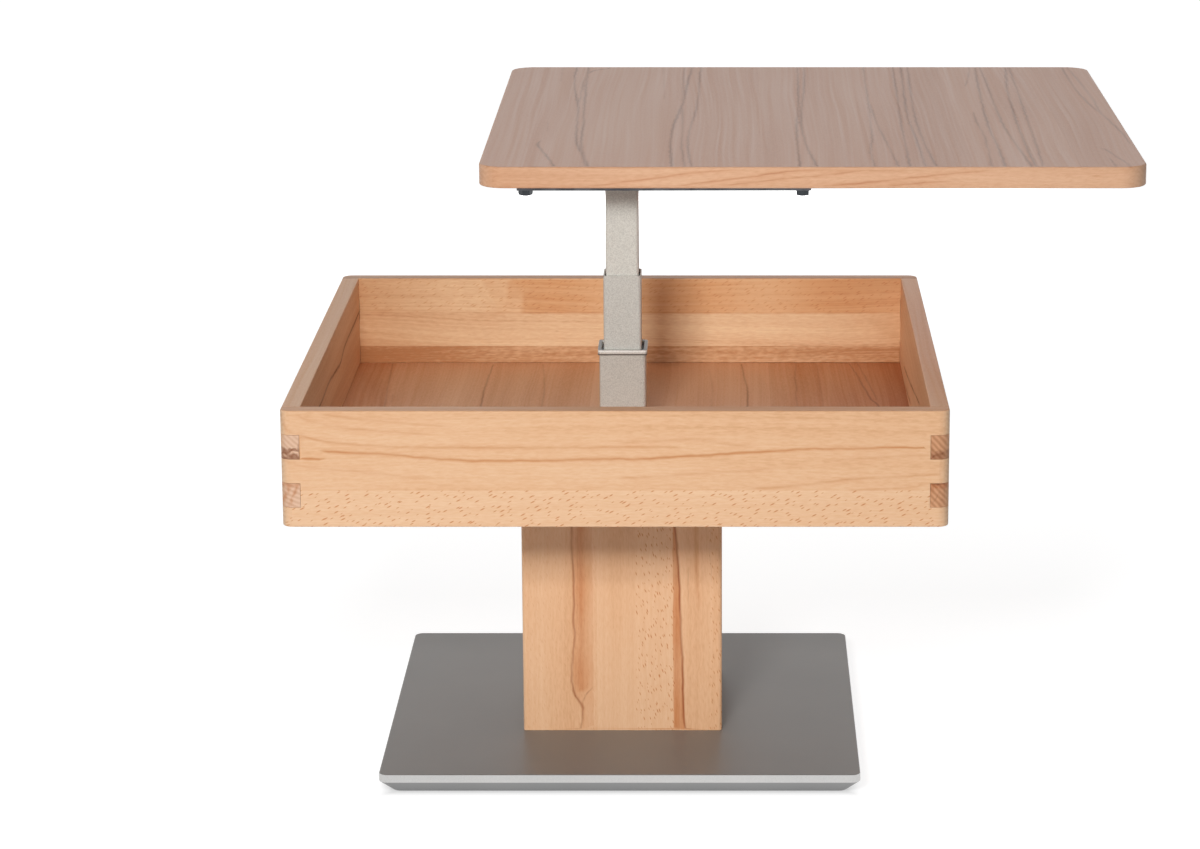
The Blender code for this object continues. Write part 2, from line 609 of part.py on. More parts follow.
def table_top(shop):
    """Makes the top: a board with two stopped grooves, a solid lipping, two rails and four felt pads."""
    centre = (SLIDE_TRAVEL, 0.0)
    upper = TOP_UNDERSIDE + TOP_THICKNESS
    band = square_block("top_edge_band", TOP_WIDTH, TOP_UNDERSIDE, upper, shop.parts, centre,
                        TOP_CORNER_RADIUS, TOP_EDGE_RADIUS)
    opening = square_block("top_edge_band_opening", TOP_WIDTH - 2 * TOP_BAND, TOP_UNDERSIDE - CUT_OVERRUN,
                           upper + CUT_OVERRUN, shop.tools, centre, TOP_CORNER_RADIUS - TOP_BAND)
    shape_by(band, opening)
    shop.keep(band, shop.beech, shop.top)
    board_inset = TOP_BAND + SEAT_GAP
    board = square_block("top_board", TOP_WIDTH - 2 * board_inset, TOP_UNDERSIDE, upper, shop.parts, centre,
                         TOP_CORNER_RADIUS - board_inset)
    for label, facing in ENDS:
        top_rail(shop, board, label, facing * BAR_LINE)
        for side, way in SIDES:
            top_pad(shop, "%s_%s" % (label, side), way, facing)
    shop.keep(board, shop.beech, shop.top)


def top_rail(shop, board, label, line):
    """Makes a C-shaped rail, flush with the underside of the board, and the groove that it lies in."""
    left, right = rail_span()
    half = RAIL_WIDTH / 2
    rail_top = TOP_UNDERSIDE + RAIL_DEPTH
    groove = block("top_board_groove_" + label,
                   (left - SEAT_GAP, line - half - SEAT_GAP, TOP_UNDERSIDE - CUT_OVERRUN),
                   (right + SEAT_GAP, line + half + SEAT_GAP, rail_top + SEAT_GAP), shop.tools)
    shape_by(board, groove)
    rail = block("top_rail_" + label, (left, line - half, TOP_UNDERSIDE), (right, line + half, rail_top),
                 shop.parts)
    hollow = half - RAIL_WALL
    channel = block(rail.name + "_channel", (left - CUT_OVERRUN, line - hollow, TOP_UNDERSIDE + RAIL_WALL),
                    (right + CUT_OVERRUN, line + hollow, rail_top - RAIL_WALL), shop.tools)
    shape_by(rail, channel)
    slot = block(rail.name + "_slot",
                 (left - CUT_OVERRUN, line - RAIL_SLOT / 2, TOP_UNDERSIDE - CUT_OVERRUN),
                 (right + CUT_OVERRUN, line + RAIL_SLOT / 2, TOP_UNDERSIDE + RAIL_DEPTH / 2), shop.tools)
    shape_by(rail, slot)
    shop.keep(rail, shop.alloy, shop.top)


def top_pad(shop, label, way, facing):
    """Makes a felt pad under the top, over the rim of a side wall when the top is closed."""
    x = SLIDE_TRAVEL + way * (BOX_INNER_WIDTH / 2 + TOP_WIDTH / 2) / 2
    y = facing * (TOP_WIDTH / 2 - PAD_END_INSET)
    upper = TOP_UNDERSIDE - SEAT_GAP
    pad = drum("top_pad_" + label, PAD_DIAMETER, upper - PAD_THICKNESS, upper, shop.parts, (x, y))
    shop.keep(pad, shop.felt, shop.top)


def main():
    """Builds the table from the floor up."""
    clear_scene()
    shop = Workshop()
    base_cover(shop)
    base_filling(shop)
    column(shop)
    for label, facing in ENDS:
        box_wall(shop, label, facing, True)
    for label, facing in SIDES:
        box_wall(shop, label, facing, False)
    box_floor(shop)
    telescope_root(shop)
    telescope_stages(shop)
    gas_spring(shop)
    carrier(shop)
    table_top(shop)


main()
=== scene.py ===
# %% [markdown]
# # A core-beech coffee table with a lifting top
# The table stands as it is used for a meal: the square telescope is drawn out, and the top has run to the right, so
# that the storage box under it is open. The frame brings the shapes and the joints. This script dresses them: each
# board gets its grain and its dark heart veins, each steel piece its coat, and a small studio is set up round it.

# %% Load the frame
import json
import math
import random

import bmesh
import bpy
import numpy as np
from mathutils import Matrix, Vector
from mathutils.geometry import delaunay_2d_cdt


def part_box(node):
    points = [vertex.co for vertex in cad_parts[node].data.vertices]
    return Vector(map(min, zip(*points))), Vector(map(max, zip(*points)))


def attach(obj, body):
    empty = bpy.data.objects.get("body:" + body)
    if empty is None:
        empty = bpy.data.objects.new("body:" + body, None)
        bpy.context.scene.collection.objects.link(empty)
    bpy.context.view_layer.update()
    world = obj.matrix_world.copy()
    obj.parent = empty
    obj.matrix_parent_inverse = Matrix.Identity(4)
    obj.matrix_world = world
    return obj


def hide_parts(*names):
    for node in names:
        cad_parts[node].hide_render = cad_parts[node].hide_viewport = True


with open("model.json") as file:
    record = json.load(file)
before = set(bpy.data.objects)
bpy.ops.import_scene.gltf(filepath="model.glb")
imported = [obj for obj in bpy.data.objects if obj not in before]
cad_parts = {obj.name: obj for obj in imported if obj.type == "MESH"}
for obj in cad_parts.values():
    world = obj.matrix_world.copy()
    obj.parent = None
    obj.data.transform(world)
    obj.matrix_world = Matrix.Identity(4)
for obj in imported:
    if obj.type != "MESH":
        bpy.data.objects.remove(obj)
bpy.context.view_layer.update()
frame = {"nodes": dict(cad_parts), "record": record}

nodes = frame["nodes"]

# %% [markdown]
# ## The camera
# The table was photographed with a long lens, square to its front and tilted down by about fourteen degrees. The
# optical axis lies right of the middle of the picture, because the picture was cropped, so the lens is shifted
# instead of turning the camera: a turned camera would make the upright edges of the box lean.

# %% Set the camera
TILT_DOWN = math.radians(13.948)
camera_data = bpy.data.cameras.new("long lens")
camera_data.sensor_width = 36.0
camera_data.lens = 113.035
camera_data.shift_x = -0.09918
camera = bpy.data.objects.new("camera", camera_data)
camera.location = (0.1087, -4.1632, 1.3872)
camera.rotation_euler = (math.pi / 2 - TILT_DOWN, 0.0, 0.0)
bpy.context.scene.collection.objects.link(camera)
bpy.context.scene.camera = camera
bpy.context.scene.view_settings.view_transform = "Standard"
print("camera at", tuple(camera.location))

# %% [markdown]
# ## Colours and nodes
# Paint charts give colours as sRGB codes, but a shader reckons in linear light, so one function turns the one into
# the other. Two more add a node, set it and link it, which keeps the recipes below short enough to read.

# %% Helpers for every finish
def paint(code):
    """Turns an sRGB code such as #EBBB94 into linear colour."""
    parts = [int(code[i:i + 2], 16) / 255 for i in (1, 3, 5)]
    return [p / 12.92 if p <= 0.04045 else ((p + 0.055) / 1.055) ** 2.4 for p in parts] + [1.0]


def feed(node, inputs):
    """Sets inputs, by name or number, to plain values, to outputs of other nodes or to a node's first output."""
    for key, value in inputs.items():
        if isinstance(value, bpy.types.Node):
            value = value.outputs[0]
        if isinstance(value, bpy.types.NodeSocket):
            node.id_data.links.new(value, node.inputs[key])
        else:
            node.inputs[key].default_value = value


def put(tree, kind, inputs=None, **settings):
    """Adds a node, sets it and feeds it. Shader nodes go by their short names, such as Math."""
    node = tree.nodes.new(kind if "Node" in kind else "ShaderNode" + kind)
    for key, value in settings.items():
        setattr(node, key, value)
    feed(node, inputs or {})
    return node


def new_finish(name):
    """Starts a material and gives its node tree and its shader."""
    finish = bpy.data.materials.new(name)
    finish.use_nodes = True
    return finish, finish.node_tree, finish.node_tree.nodes["Principled BSDF"]


print("beech light in linear colour:", [round(c, 3) for c in paint("#EBBB94")])

# %% [markdown]
# ## The studio
# The table stands on a white studio floor that runs out of the picture. To the camera and in reflections the floor
# and the world are plain white. The light that falls on the wood is a separate matter. The shadows tell where the
# lamp was: the box darkens the upper part of the column, the top darkens a little of the tube, and the tube throws
# its shadow on the back wall, just to its right. Lines drawn back from those edges meet left of the camera and low,
# and the widths of the soft edges fit a row of three small lamps, one behind the other. Far pieces are as bright as
# near ones, though, so the light of these lamps is told not to fall off with distance. The rest is weak light from
# all round and from the left, and a low lamp behind, so that the back can be judged too. The lamps light the table
# but aren't mirrored in it: the satin top would show them as white patches. The floor shines mostly by itself. Close
# to the base it shines less, which paints a contact shadow round the base, and the table's own shadow stays on it.

# %% Make the floor and the world
def seen_directly(tree):
    """Gives 1 for rays that come from the camera, a mirror or glass, and 0 for light on its way."""
    path = put(tree, "LightPath").outputs
    either = put(tree, "Math", {0: path["Is Camera Ray"], 1: path["Is Glossy Ray"]}, operation="MAXIMUM")
    return put(tree, "Math", {0: either, 1: path["Is Transmission Ray"]}, operation="MAXIMUM")


# How brightly the floor shines by itself, by the distance in metres from the middle of the base. It shines less
# close to the base, and that paints a contact shadow round it.
FLOOR_GLOW = ((0.250, 0.53), (0.264, 0.84), (0.60, 0.88), (1.0, 0.93))
studio_white = bpy.data.materials.new("white studio floor, painted")
studio_white.use_nodes = True
tree = studio_white.node_tree
tree.nodes.clear()
sides = put(tree, "VectorMath", {0: put(tree, "TexCoord").outputs["Object"]}, operation="ABSOLUTE")
sides = put(tree, "SeparateXYZ", {0: sides}).outputs
reach = put(tree, "Math", {0: sides["X"], 1: sides["Y"]}, operation="MAXIMUM")
glow_with_painted_shadow = put(tree, "ValToRGB", {0: reach})
for i, (metres, level) in enumerate(FLOOR_GLOW):
    stop = glow_with_painted_shadow.color_ramp.elements[i] if i < 2 else glow_with_painted_shadow.color_ramp.elements.new(metres)
    stop.position = metres
    stop.color = (level, level, level, 1)
glow = put(tree, "Emission", {"Color": glow_with_painted_shadow})
shaded = put(tree, "BsdfDiffuse", {"Color": (0.36, 0.36, 0.36, 1)})
seen = put(tree, "AddShader", {0: glow, 1: shaded})
bounce = put(tree, "BsdfDiffuse", {"Color": (0.72, 0.72, 0.72, 1)})
either = put(tree, "MixShader", {0: seen_directly(tree), 1: bounce, 2: seen})
put(tree, "OutputMaterial", {"Surface": either})

HALF_FLOOR = 30.0
floor_mesh = bpy.data.meshes.new("studio_floor")
floor_mesh.from_pydata([(-HALF_FLOOR, -HALF_FLOOR, 0), (HALF_FLOOR, -HALF_FLOOR, 0), (HALF_FLOOR, HALF_FLOOR, 0),
                        (-HALF_FLOOR, HALF_FLOOR, 0)], [], [(0, 1, 2, 3)])
floor_mesh.materials.append(studio_white)
studio_floor = bpy.data.objects.new("studio_floor", floor_mesh)
bpy.context.scene.collection.objects.link(studio_floor)

world = bpy.data.worlds.new("white studio")
world.use_nodes = True
bpy.context.scene.world = world
tree = world.node_tree
tree.nodes.clear()
level = put(tree, "MapRange", {"Value": seen_directly(tree), "To Min": 0.23, "To Max": 1.0})
sky = put(tree, "Background", {"Color": (1, 1, 1, 1), "Strength": level})
put(tree, "OutputWorld", {"Surface": sky})
print("floor half width:", HALF_FLOOR)

# %% Hang the lamps
def soft_lamp(name, place, aim, width, height, power):
    """Hangs one rectangular soft lamp and turns it to a point."""
    lamp = bpy.data.lights.new(name, "AREA")
    lamp.shape = "RECTANGLE"
    lamp.size = width
    lamp.size_y = height
    lamp.energy = power
    item = bpy.data.objects.new(name, lamp)
    item.location = place
    item.rotation_euler = (Vector(aim) - Vector(place)).to_track_quat("-Z", "Y").to_euler()
    item.visible_camera = False
    item.visible_glossy = False
    bpy.context.scene.collection.objects.link(item)
    return item


KEY_PLACES = ((-0.20, -1.66, 1.040), (-0.245, -2.03, 1.097), (-0.29, -2.39, 1.154))
for place in KEY_PLACES:
    key = soft_lamp("key beside the camera", place, (0.0, -0.2, 0.40), 0.37, 0.09, 2.17).data
    key.use_nodes = True
    even = put(key.node_tree, "LightFalloff", {"Strength": 1.0})
    feed(key.node_tree.nodes["Emission"], {"Strength": even.outputs["Constant"]})
soft_lamp("fill from the left", (-2.4, -2.6, 0.95), (0.0, 0.0, 0.40), 1.4, 1.2, 9.0)
soft_lamp("low fill from behind", (-0.2, 3.4, 0.18), (0.0, 0.0, 0.40), 1.8, 0.25, 30.0)

# %% [markdown]
# ## Core beech
# Core beech is beech cut from the middle of the trunk, where grey-brown and reddish heart veins run through pinkish
# yellow wood. The boards are glued up from staves, each a little lighter or darker than the next. Beech is also full
# of short ray flecks, which show as slanted dashes on a stave cut across the rings. An image could carry all that,
# but nodes keep the pattern at its real scale on every side. So the recipe stretches noise along the grain, shifts it
# from stave to stave, and takes the heart veins, their reddish borders and a painted shade for corners from three
# numbers that are stored in the mesh.

# %% The recipe for one board
AXES = "XYZ"
# Each layer: length along the grain, width across it (metres), how rough its outline is.
# The finest marks of beech are about 0.3 mm wide. They are drawn at 1 to 2 mm, or the picture would lose them.
GRAIN_LAYERS = (("drift", 0.70, 0.075, 2.0), ("growth", 1.10, 0.011, 3.0), ("line", 0.50, 0.0028, 2.0),
                ("ripple", 0.0090, 0.0017, 1.0))
# Each ray fleck lies in a cell of this length and width, in metres.
FLECK_CELL = (0.0170, 0.0038)
# The wave node draws a ring about every 0.31 units, so this scale sets year rings 4.8 mm apart. Real ones lie two or
# three times closer, which the picture would lose.
RING_SCALE = 66.0


def core_beech(name, grain, staves, side, figure=(0.14, 0.07, 0.04, 0.07), bend=0.03, vein="#BFA08A",
               ends=("#DCAF8A", "#BE8A60"), slant=-27.0, fleck_size=1.0, gloss=0.50,
               tones=("#F7D2AE", "#E9B98F", "#C98A58"), seed=0.0):
    """Makes the finish of one board, oiled and sanded.

    The grain runs along an axis. The staves lie side by side along another: where each starts in millimetres, its
    tone from 0, pale, to 1, deep, and how many ray flecks it shows. The board's face looks along the side axis.
    The figure is the share of each grain layer, and bend is how far the lines of the grain sway, in metres. The
    vein is what a heart vein lets through of the light. The flecks lie at a slant to the grain, in degrees, and
    their size is a share of the usual one.
    """
    finish, tree, shader = new_finish(name)
    finish["grain"] = AXES.index(grain)
    spot = put(tree, "TexCoord").outputs["Object"]
    parts = put(tree, "SeparateXYZ", {0: spot}).outputs
    across = [axis for axis in AXES if axis not in (grain, side)][0]
    low, high = staves[0][0] / 1000, staves[-1][0] / 1000 + 1.0
    share = put(tree, "MapRange", {"Value": parts[across], "From Min": low, "From Max": high})
    ramp = put(tree, "ValToRGB", {0: share})
    ramp.color_ramp.interpolation = "CONSTANT"
    for i, (start, tone, fleck) in enumerate(staves):
        here = (start / 1000 - low) / (high - low)
        stop = ramp.color_ramp.elements[0] if i == 0 else ramp.color_ramp.elements.new(here)
        stop.position = here
        stop.color = (tone, fleck, (i * 0.37 + seed) % 1.0, 1.0)
    # The ramp starts with a second stop at its end, which lies beyond the board.
    ramp.color_ramp.elements[len(staves)].color = (0.5, 0.0, 0.0, 1.0)
    stave_tone, stave_fleck, stave_shift = put(tree, "SeparateColor", {0: ramp}).outputs
    jump = put(tree, "VectorMath", {0: (7.1, 5.3, 6.2), 3: stave_shift}, operation="SCALE")
    place = put(tree, "VectorMath", {0: spot, 1: jump}, operation="ADD")

    # The trunk was never quite straight, so the lines sway: a slow noise pushes them sideways.
    slow = put(tree, "VectorMath", {0: place, 1: [2.2 if a == grain else 7.0 for a in AXES]}, operation="MULTIPLY")
    swing = put(tree, "TexNoise", {"Vector": slow, "Scale": 1.0, "Detail": 1.0})
    sway = put(tree, "Math", {0: swing, 1: bend}, operation="MULTIPLY")
    push = put(tree, "CombineXYZ", {AXES.index(across): sway})
    swayed = put(tree, "VectorMath", {0: place, 1: push}, operation="ADD")

    layers = {}
    tone = stave_tone
    for (label, length, width, detail), amount in zip(GRAIN_LAYERS, figure):
        stretch = [1 / length if axis == grain else 1 / width for axis in AXES]
        drawn = put(tree, "VectorMath", {0: swayed, 1: stretch}, operation="MULTIPLY")
        noise = put(tree, "TexNoise", {"Vector": drawn, "Scale": 1.0, "Detail": detail, "Distortion": 0.25})
        layers[label] = put(tree, "MapRange", {"Value": noise, "From Min": 0.3, "From Max": 0.7, "To Min": -1.0,
                                               "To Max": 1.0})
        tone = put(tree, "Math", {0: layers[label], 1: amount, 2: tone}, operation="MULTIPLY_ADD")
    wood = put(tree, "ValToRGB", {0: tone})
    wood.color_ramp.elements[0].color = paint(tones[0])
    wood.color_ramp.elements[1].color = paint(tones[2])
    wood.color_ramp.elements.new(0.5).color = paint(tones[1])

    # Ray flecks: slim slanted dashes about 6 by 1.3 mm, one in each cell of a stretched flat pattern.
    seen = put(tree, "SeparateXYZ", {0: place}).outputs
    flat = put(tree, "CombineXYZ", {0: seen[grain], 1: seen[across]})
    turned = put(tree, "VectorRotate", {"Vector": flat, "Angle": math.radians(slant)}, rotation_type="Z_AXIS")
    cell = [1 / (size * fleck_size) for size in FLECK_CELL] + [1.0]
    drawn = put(tree, "VectorMath", {0: turned, 1: cell}, operation="MULTIPLY")
    cells = put(tree, "TexVoronoi", {"Vector": drawn, "Scale": 1.0}, voronoi_dimensions="2D").outputs
    chance = put(tree, "SeparateColor", {0: cells["Color"]})
    size = put(tree, "MapRange", {"Value": chance, "To Min": 0.09, "To Max": 0.22})
    edge = put(tree, "Math", {0: size, 1: 0.45}, operation="MULTIPLY")
    dash = put(tree, "MapRange", {"Value": cells["Distance"], "From Min": size, "From Max": edge})
    amount = put(tree, "Math", {0: dash, 1: stave_fleck}, operation="MULTIPLY")
    colour = put(tree, "Mix", {0: amount, 6: wood, 7: paint("#DDAF87")}, data_type="RGBA",
                 blend_type="MULTIPLY").outputs[2]

    # End grain: the cut ends show the year rings as narrow stripes.
    rings = put(tree, "TexWave", {"Vector": place, "Scale": RING_SCALE, "Distortion": 2.6, "Detail": 2.0,
                                  "Detail Scale": 0.6}, wave_type="RINGS", rings_direction=grain)
    cut = put(tree, "Mix", {0: rings.outputs["Fac"], 6: paint(ends[0]), 7: paint(ends[1])}, data_type="RGBA")
    is_end = put(tree, "Attribute", attribute_name="cut end")
    colour = put(tree, "Mix", {0: is_end.outputs["Fac"], 6: colour, 7: cut.outputs[2]}, data_type="RGBA").outputs[2]

    # Heart veins, the reddish wood beside them and painted shade in corners, from the numbers in the mesh. The veins
    # hold back light like a stain, and the painted shade darkens alike, so all three multiply the colour of the wood.
    # The fine lines break them up a little.
    torn = put(tree, "MapRange", {"Value": layers["line"], "From Min": -1.0, "To Min": 0.75, "To Max": 1.0})
    for label, shade in (("blush", "#E3BFA2"), ("heart", vein), ("shade", "#DDC8B7")):
        stored = put(tree, "Attribute", attribute_name=label)
        soft = put(tree, "MapRange", {"Value": stored.outputs["Fac"]}, interpolation_type="SMOOTHSTEP")
        amount = put(tree, "Math", {0: soft, 1: torn}, operation="MULTIPLY")
        colour = put(tree, "Mix", {0: amount, 6: colour, 7: paint(shade)}, data_type="RGBA",
                     blend_type="MULTIPLY").outputs[2]

    # Oiled beech is dull satin: the lines are a little duller than the wood between them, and can just be felt.
    dull = put(tree, "MapRange", {"Value": layers["line"], "From Min": -1.0, "To Min": gloss - 0.05,
                                  "To Max": gloss + 0.05})
    felt = put(tree, "Bump", {"Strength": 0.10, "Distance": 0.0003, "Height": layers["ripple"]})
    feed(shader, {"Base Color": colour, "Roughness": dull, "Normal": felt, "IOR": 1.5})
    return finish


print("grain layers:", [layer[0] for layer in GRAIN_LAYERS])

# %% [markdown]
# ## Clean copies of the boards
# The frame's meshes are triangles, fit for a solver. For a picture and for cutting veins into them, whole faces are
# better. So each board is copied, its triangles are merged back into faces, and the long sharp edges get a small
# arris, as a sanding block leaves it. The joints keep their sharp edges, because they are sanded flush. Rounded
# corners can be cut into low slices, so that a drawing which is stored in the vertices can run on round them.

# %% Copy, ease and crease
# Two faces that meet at less than the first angle are one, and at more than the second their edge gets an arris.
SAME_FACE, SHARP_EDGE = math.radians(0.3), math.radians(60)
# Below the first angle an edge can't be seen. Up to the second it belongs to a rounding.
FLUSH, ROUNDING = math.radians(1), math.radians(40)
# A face looks straight along an axis when this much of its normal does.
STRAIGHT = 0.9999
# Wood looks like a cut end where a face's normal lies along the grain: from the first share of it on, and fully when
# the second is added.
CUT_END_FROM, CUT_END_OVER = 0.35, 0.5


def new_piece(shape, name):
    """Turns an edit mesh into an object at the origin."""
    mesh = bpy.data.meshes.new(name)
    shape.to_mesh(mesh)
    shape.free()
    piece = bpy.data.objects.new(name, mesh)
    bpy.context.scene.collection.objects.link(piece)
    return piece


def clean_copy(node, name, arris=0.0, shortest=0.09, slices=()):
    """Copies a node of the frame as whole faces, with an arris on its sharp edges down to a length.

    The slices are the heights, in metres, at which the faces of upright roundings are cut.
    """
    source = nodes[node].data
    plain = bpy.data.meshes.new(name + "_plain")
    plain.from_pydata([v.co for v in source.vertices], [], [list(p.vertices) for p in source.polygons])
    shape = bmesh.new()
    shape.from_mesh(plain)
    bpy.data.meshes.remove(plain)
    bmesh.ops.remove_doubles(shape, verts=shape.verts, dist=2e-6)
    bmesh.ops.dissolve_limit(shape, angle_limit=SAME_FACE, verts=shape.verts, edges=shape.edges)
    if arris:
        long_sharp = [e for e in shape.edges if len(e.link_faces) == 2 and e.calc_length() > shortest
                      and e.calc_face_angle() > SHARP_EDGE]
        bmesh.ops.bevel(shape, geom=long_sharp, offset=arris, segments=2, profile=0.5, affect="EDGES",
                        clamp_overlap=True)
    for height in slices:
        rounded = [f for f in shape.faces if abs(f.normal.z) < 0.1 and max(abs(c) for c in f.normal) < STRAIGHT]
        # A dict drops repeats and keeps the order, so that each run numbers the new vertices alike.
        around = list(dict.fromkeys(part for f in rounded for part in (*f.edges, *f.verts)))
        bmesh.ops.bisect_plane(shape, geom=rounded + around, plane_co=(0, 0, height), plane_no=(0, 0, 1))
    return new_piece(shape, name)


def crease(piece):
    """Shades the roundings smoothly and keeps flat faces flat right up to where a rounding starts."""
    shape = bmesh.new()
    shape.from_mesh(piece.data)
    for face in shape.faces:
        face.smooth = True
    for edge in shape.edges:
        if len(edge.link_faces) == 2:
            angle = edge.calc_face_angle()
            beside_flat = any(max(abs(c) for c in f.normal) > STRAIGHT for f in edge.link_faces)
            edge.smooth = angle < FLUSH or (angle < ROUNDING and not beside_flat)
    shape.to_mesh(piece.data)
    shape.free()


def hand_over(piece, body, slot, finishes, *replaced):
    """Finishes a piece, marks the cut ends of wood, and lets it move with a body and stand for its nodes."""
    for finish in finishes:
        piece.data.materials.append(finish)
    crease(piece)
    if "grain" in finishes[0]:
        ends = piece.data.attributes.new("cut end", "FLOAT", "FACE")
        for face, end in zip(piece.data.polygons, ends.data):
            along = abs(face.normal[finishes[face.material_index]["grain"]])
            end.value = min(max((along - CUT_END_FROM) / CUT_END_OVER, 0.0), 1.0)
    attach(piece, body)
    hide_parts(*replaced)
    print(piece.name, "for", ", ".join(replaced), len(piece.data.polygons), "faces")


print("helpers for pieces are ready")

# %% [markdown]
# ## Heart veins
# A heart vein is a thin dark layer in the trunk, so on a board it is a line that wanders along the grain and has a
# reddish border. Noise can't put such a line where the real board has it. Painting it in an image would work only on
# one side. Here each vein is a list of points in millimetres: strips of narrow triangles are cut into the board's
# face along it, and every vertex stores how dark the wood is there. The face stays exactly flat.

# %% Draw a path and measure from it
VEIN_STEP = 0.008
VEIN_JITTER = 0.0005


def smooth_path(points, rng):
    """Draws a smooth path through points, each a place and a half width in millimetres, in short steps, in metres."""
    fixed = np.array(points, float) / 1000
    fixed = np.vstack([2 * fixed[0] - fixed[1], fixed, 2 * fixed[-1] - fixed[-2]])
    path = []
    for a, b, c, d in zip(fixed[:-3], fixed[1:-2], fixed[2:-1], fixed[3:]):
        for t in np.linspace(0, 1, max(2, int(np.linalg.norm(c - b) / VEIN_STEP)), endpoint=False):
            path.append(b + t * (c - a) / 2 + t * t * (a - 2.5 * b + 2 * c - d / 2)
                        + t ** 3 * (-a + 3 * b - 3 * c + d) / 2)
    path.append(fixed[-2])
    reach = [min(VEIN_JITTER, 0.2 * spot[2]) for spot in path]
    return np.array(path) + [[rng.uniform(-r, r), rng.uniform(-r, r), 0.0] for r in reach]


def nearness(path, spots):
    """Gives each spot's distance to a path, the half width there, and how far along it lies, from 0 to 1."""
    start, step = path[:-1], path[1:] - path[:-1]
    t = ((spots[:, None] - start[:, :2]) * step[:, :2]).sum(2) / np.maximum((step[:, :2] ** 2).sum(1), 1e-18)
    t = np.clip(t, 0, 1)
    gap = np.linalg.norm(start[:, :2] + t[..., None] * step[:, :2] - spots[:, None], axis=2)
    nearest = gap.argmin(1)
    rows = np.arange(len(spots))
    t = t[rows, nearest]
    return gap[rows, nearest], start[nearest, 2] + t * step[nearest, 2], (nearest + t) / len(step)


def inside_faces(corners, spots):
    """Says which spots lie in any of some triangles, all in the plane of a face."""
    found = np.zeros(len(spots), bool)
    for a, b, c in corners:
        turns = [(q[0] - p[0]) * (spots[:, 1] - p[1]) - (q[1] - p[1]) * (spots[:, 0] - p[0])
                 for p, q in ((a, b), (b, c), (c, a))]
        found |= np.logical_or(np.all([t >= 0 for t in turns], axis=0), np.all([t <= 0 for t in turns], axis=0))
    return found


print("a vein is drawn in steps of", VEIN_STEP * 1000, "mm")

# %% Lay veins on a face and say how dark they make it
VEIN_FADE = 0.016
# Points closer to the rim of a face than this are left out, or slivers would come of them.
RIM_ROOM = 6e-4
# Each kind: which number it writes, and the share of its half width over which it is fully dark.
VEIN_KINDS = {"heart": ("heart", 0.0), "blush": ("blush", 0.0), "heart band": ("heart", 0.8),
              "blush band": ("blush", 0.88), "shade": ("shade", 0.0)}


def lay_veins(veins, corners, rng, spots, edges):
    """Gives the paths of veins, and adds the lines along their middles and borders to the spots and edges."""
    paths = []
    for kind, dark, points in veins:
        path = smooth_path(points, rng)
        along = np.gradient(path[:, :2], axis=0)
        along = along / np.maximum(np.linalg.norm(along, axis=1), 1e-9)[:, None]
        # A vein that ends within the face fades out there. One that runs over the edge doesn't.
        beyond = np.array([path[0, :2] - along[0] * VEIN_FADE, path[-1, :2] + along[-1] * VEIN_FADE])
        paths.append((kind, dark, path, inside_faces(corners, beyond) & ("band" not in kind)))
        sideways = np.stack([-along[:, 1], along[:, 0]], 1)
        full = VEIN_KINDS[kind][1]
        for offset in sorted({-1.0, -full, full, 1.0}):
            line = path[:, :2] + sideways * path[:, 2:] * offset
            room = np.all([inside_faces(corners, line + (x, y)) for x in (RIM_ROOM, -RIM_ROOM)
                           for y in (RIM_ROOM, -RIM_ROOM)], axis=0)
            for i in range(len(line)):
                if room[i]:
                    spots.append(tuple(line[i]))
                    if i and room[i - 1]:
                        edges.append((len(spots) - 2, len(spots) - 1))
    return paths


def darkness(label, paths, places):
    """Says how dark the veins that write one of the numbers make each place, a little unevenly along each vein."""
    value = np.zeros(len(places))
    for kind, dark, path, fades in paths:
        if VEIN_KINDS[kind][0] == label:
            gap, half_width, share = nearness(path, places)
            uneven = 0.86 + 0.14 * np.sin(share * 17 + dark * 40)
            length = np.linalg.norm(np.diff(path[:, :2], axis=0), axis=1).sum()
            for end, fade in zip((share, 1 - share), fades):
                uneven = uneven * np.clip(end * max(length / VEIN_FADE, 5), 0, 1) if fade else uneven
            fall = (1 - gap / np.maximum(half_width, 1e-6)) / (1 - VEIN_KINDS[kind][1])
            value = np.maximum(value, dark * uneven * np.clip(fall, 0, 1))
    return value


print("kinds of vein:", list(VEIN_KINDS))

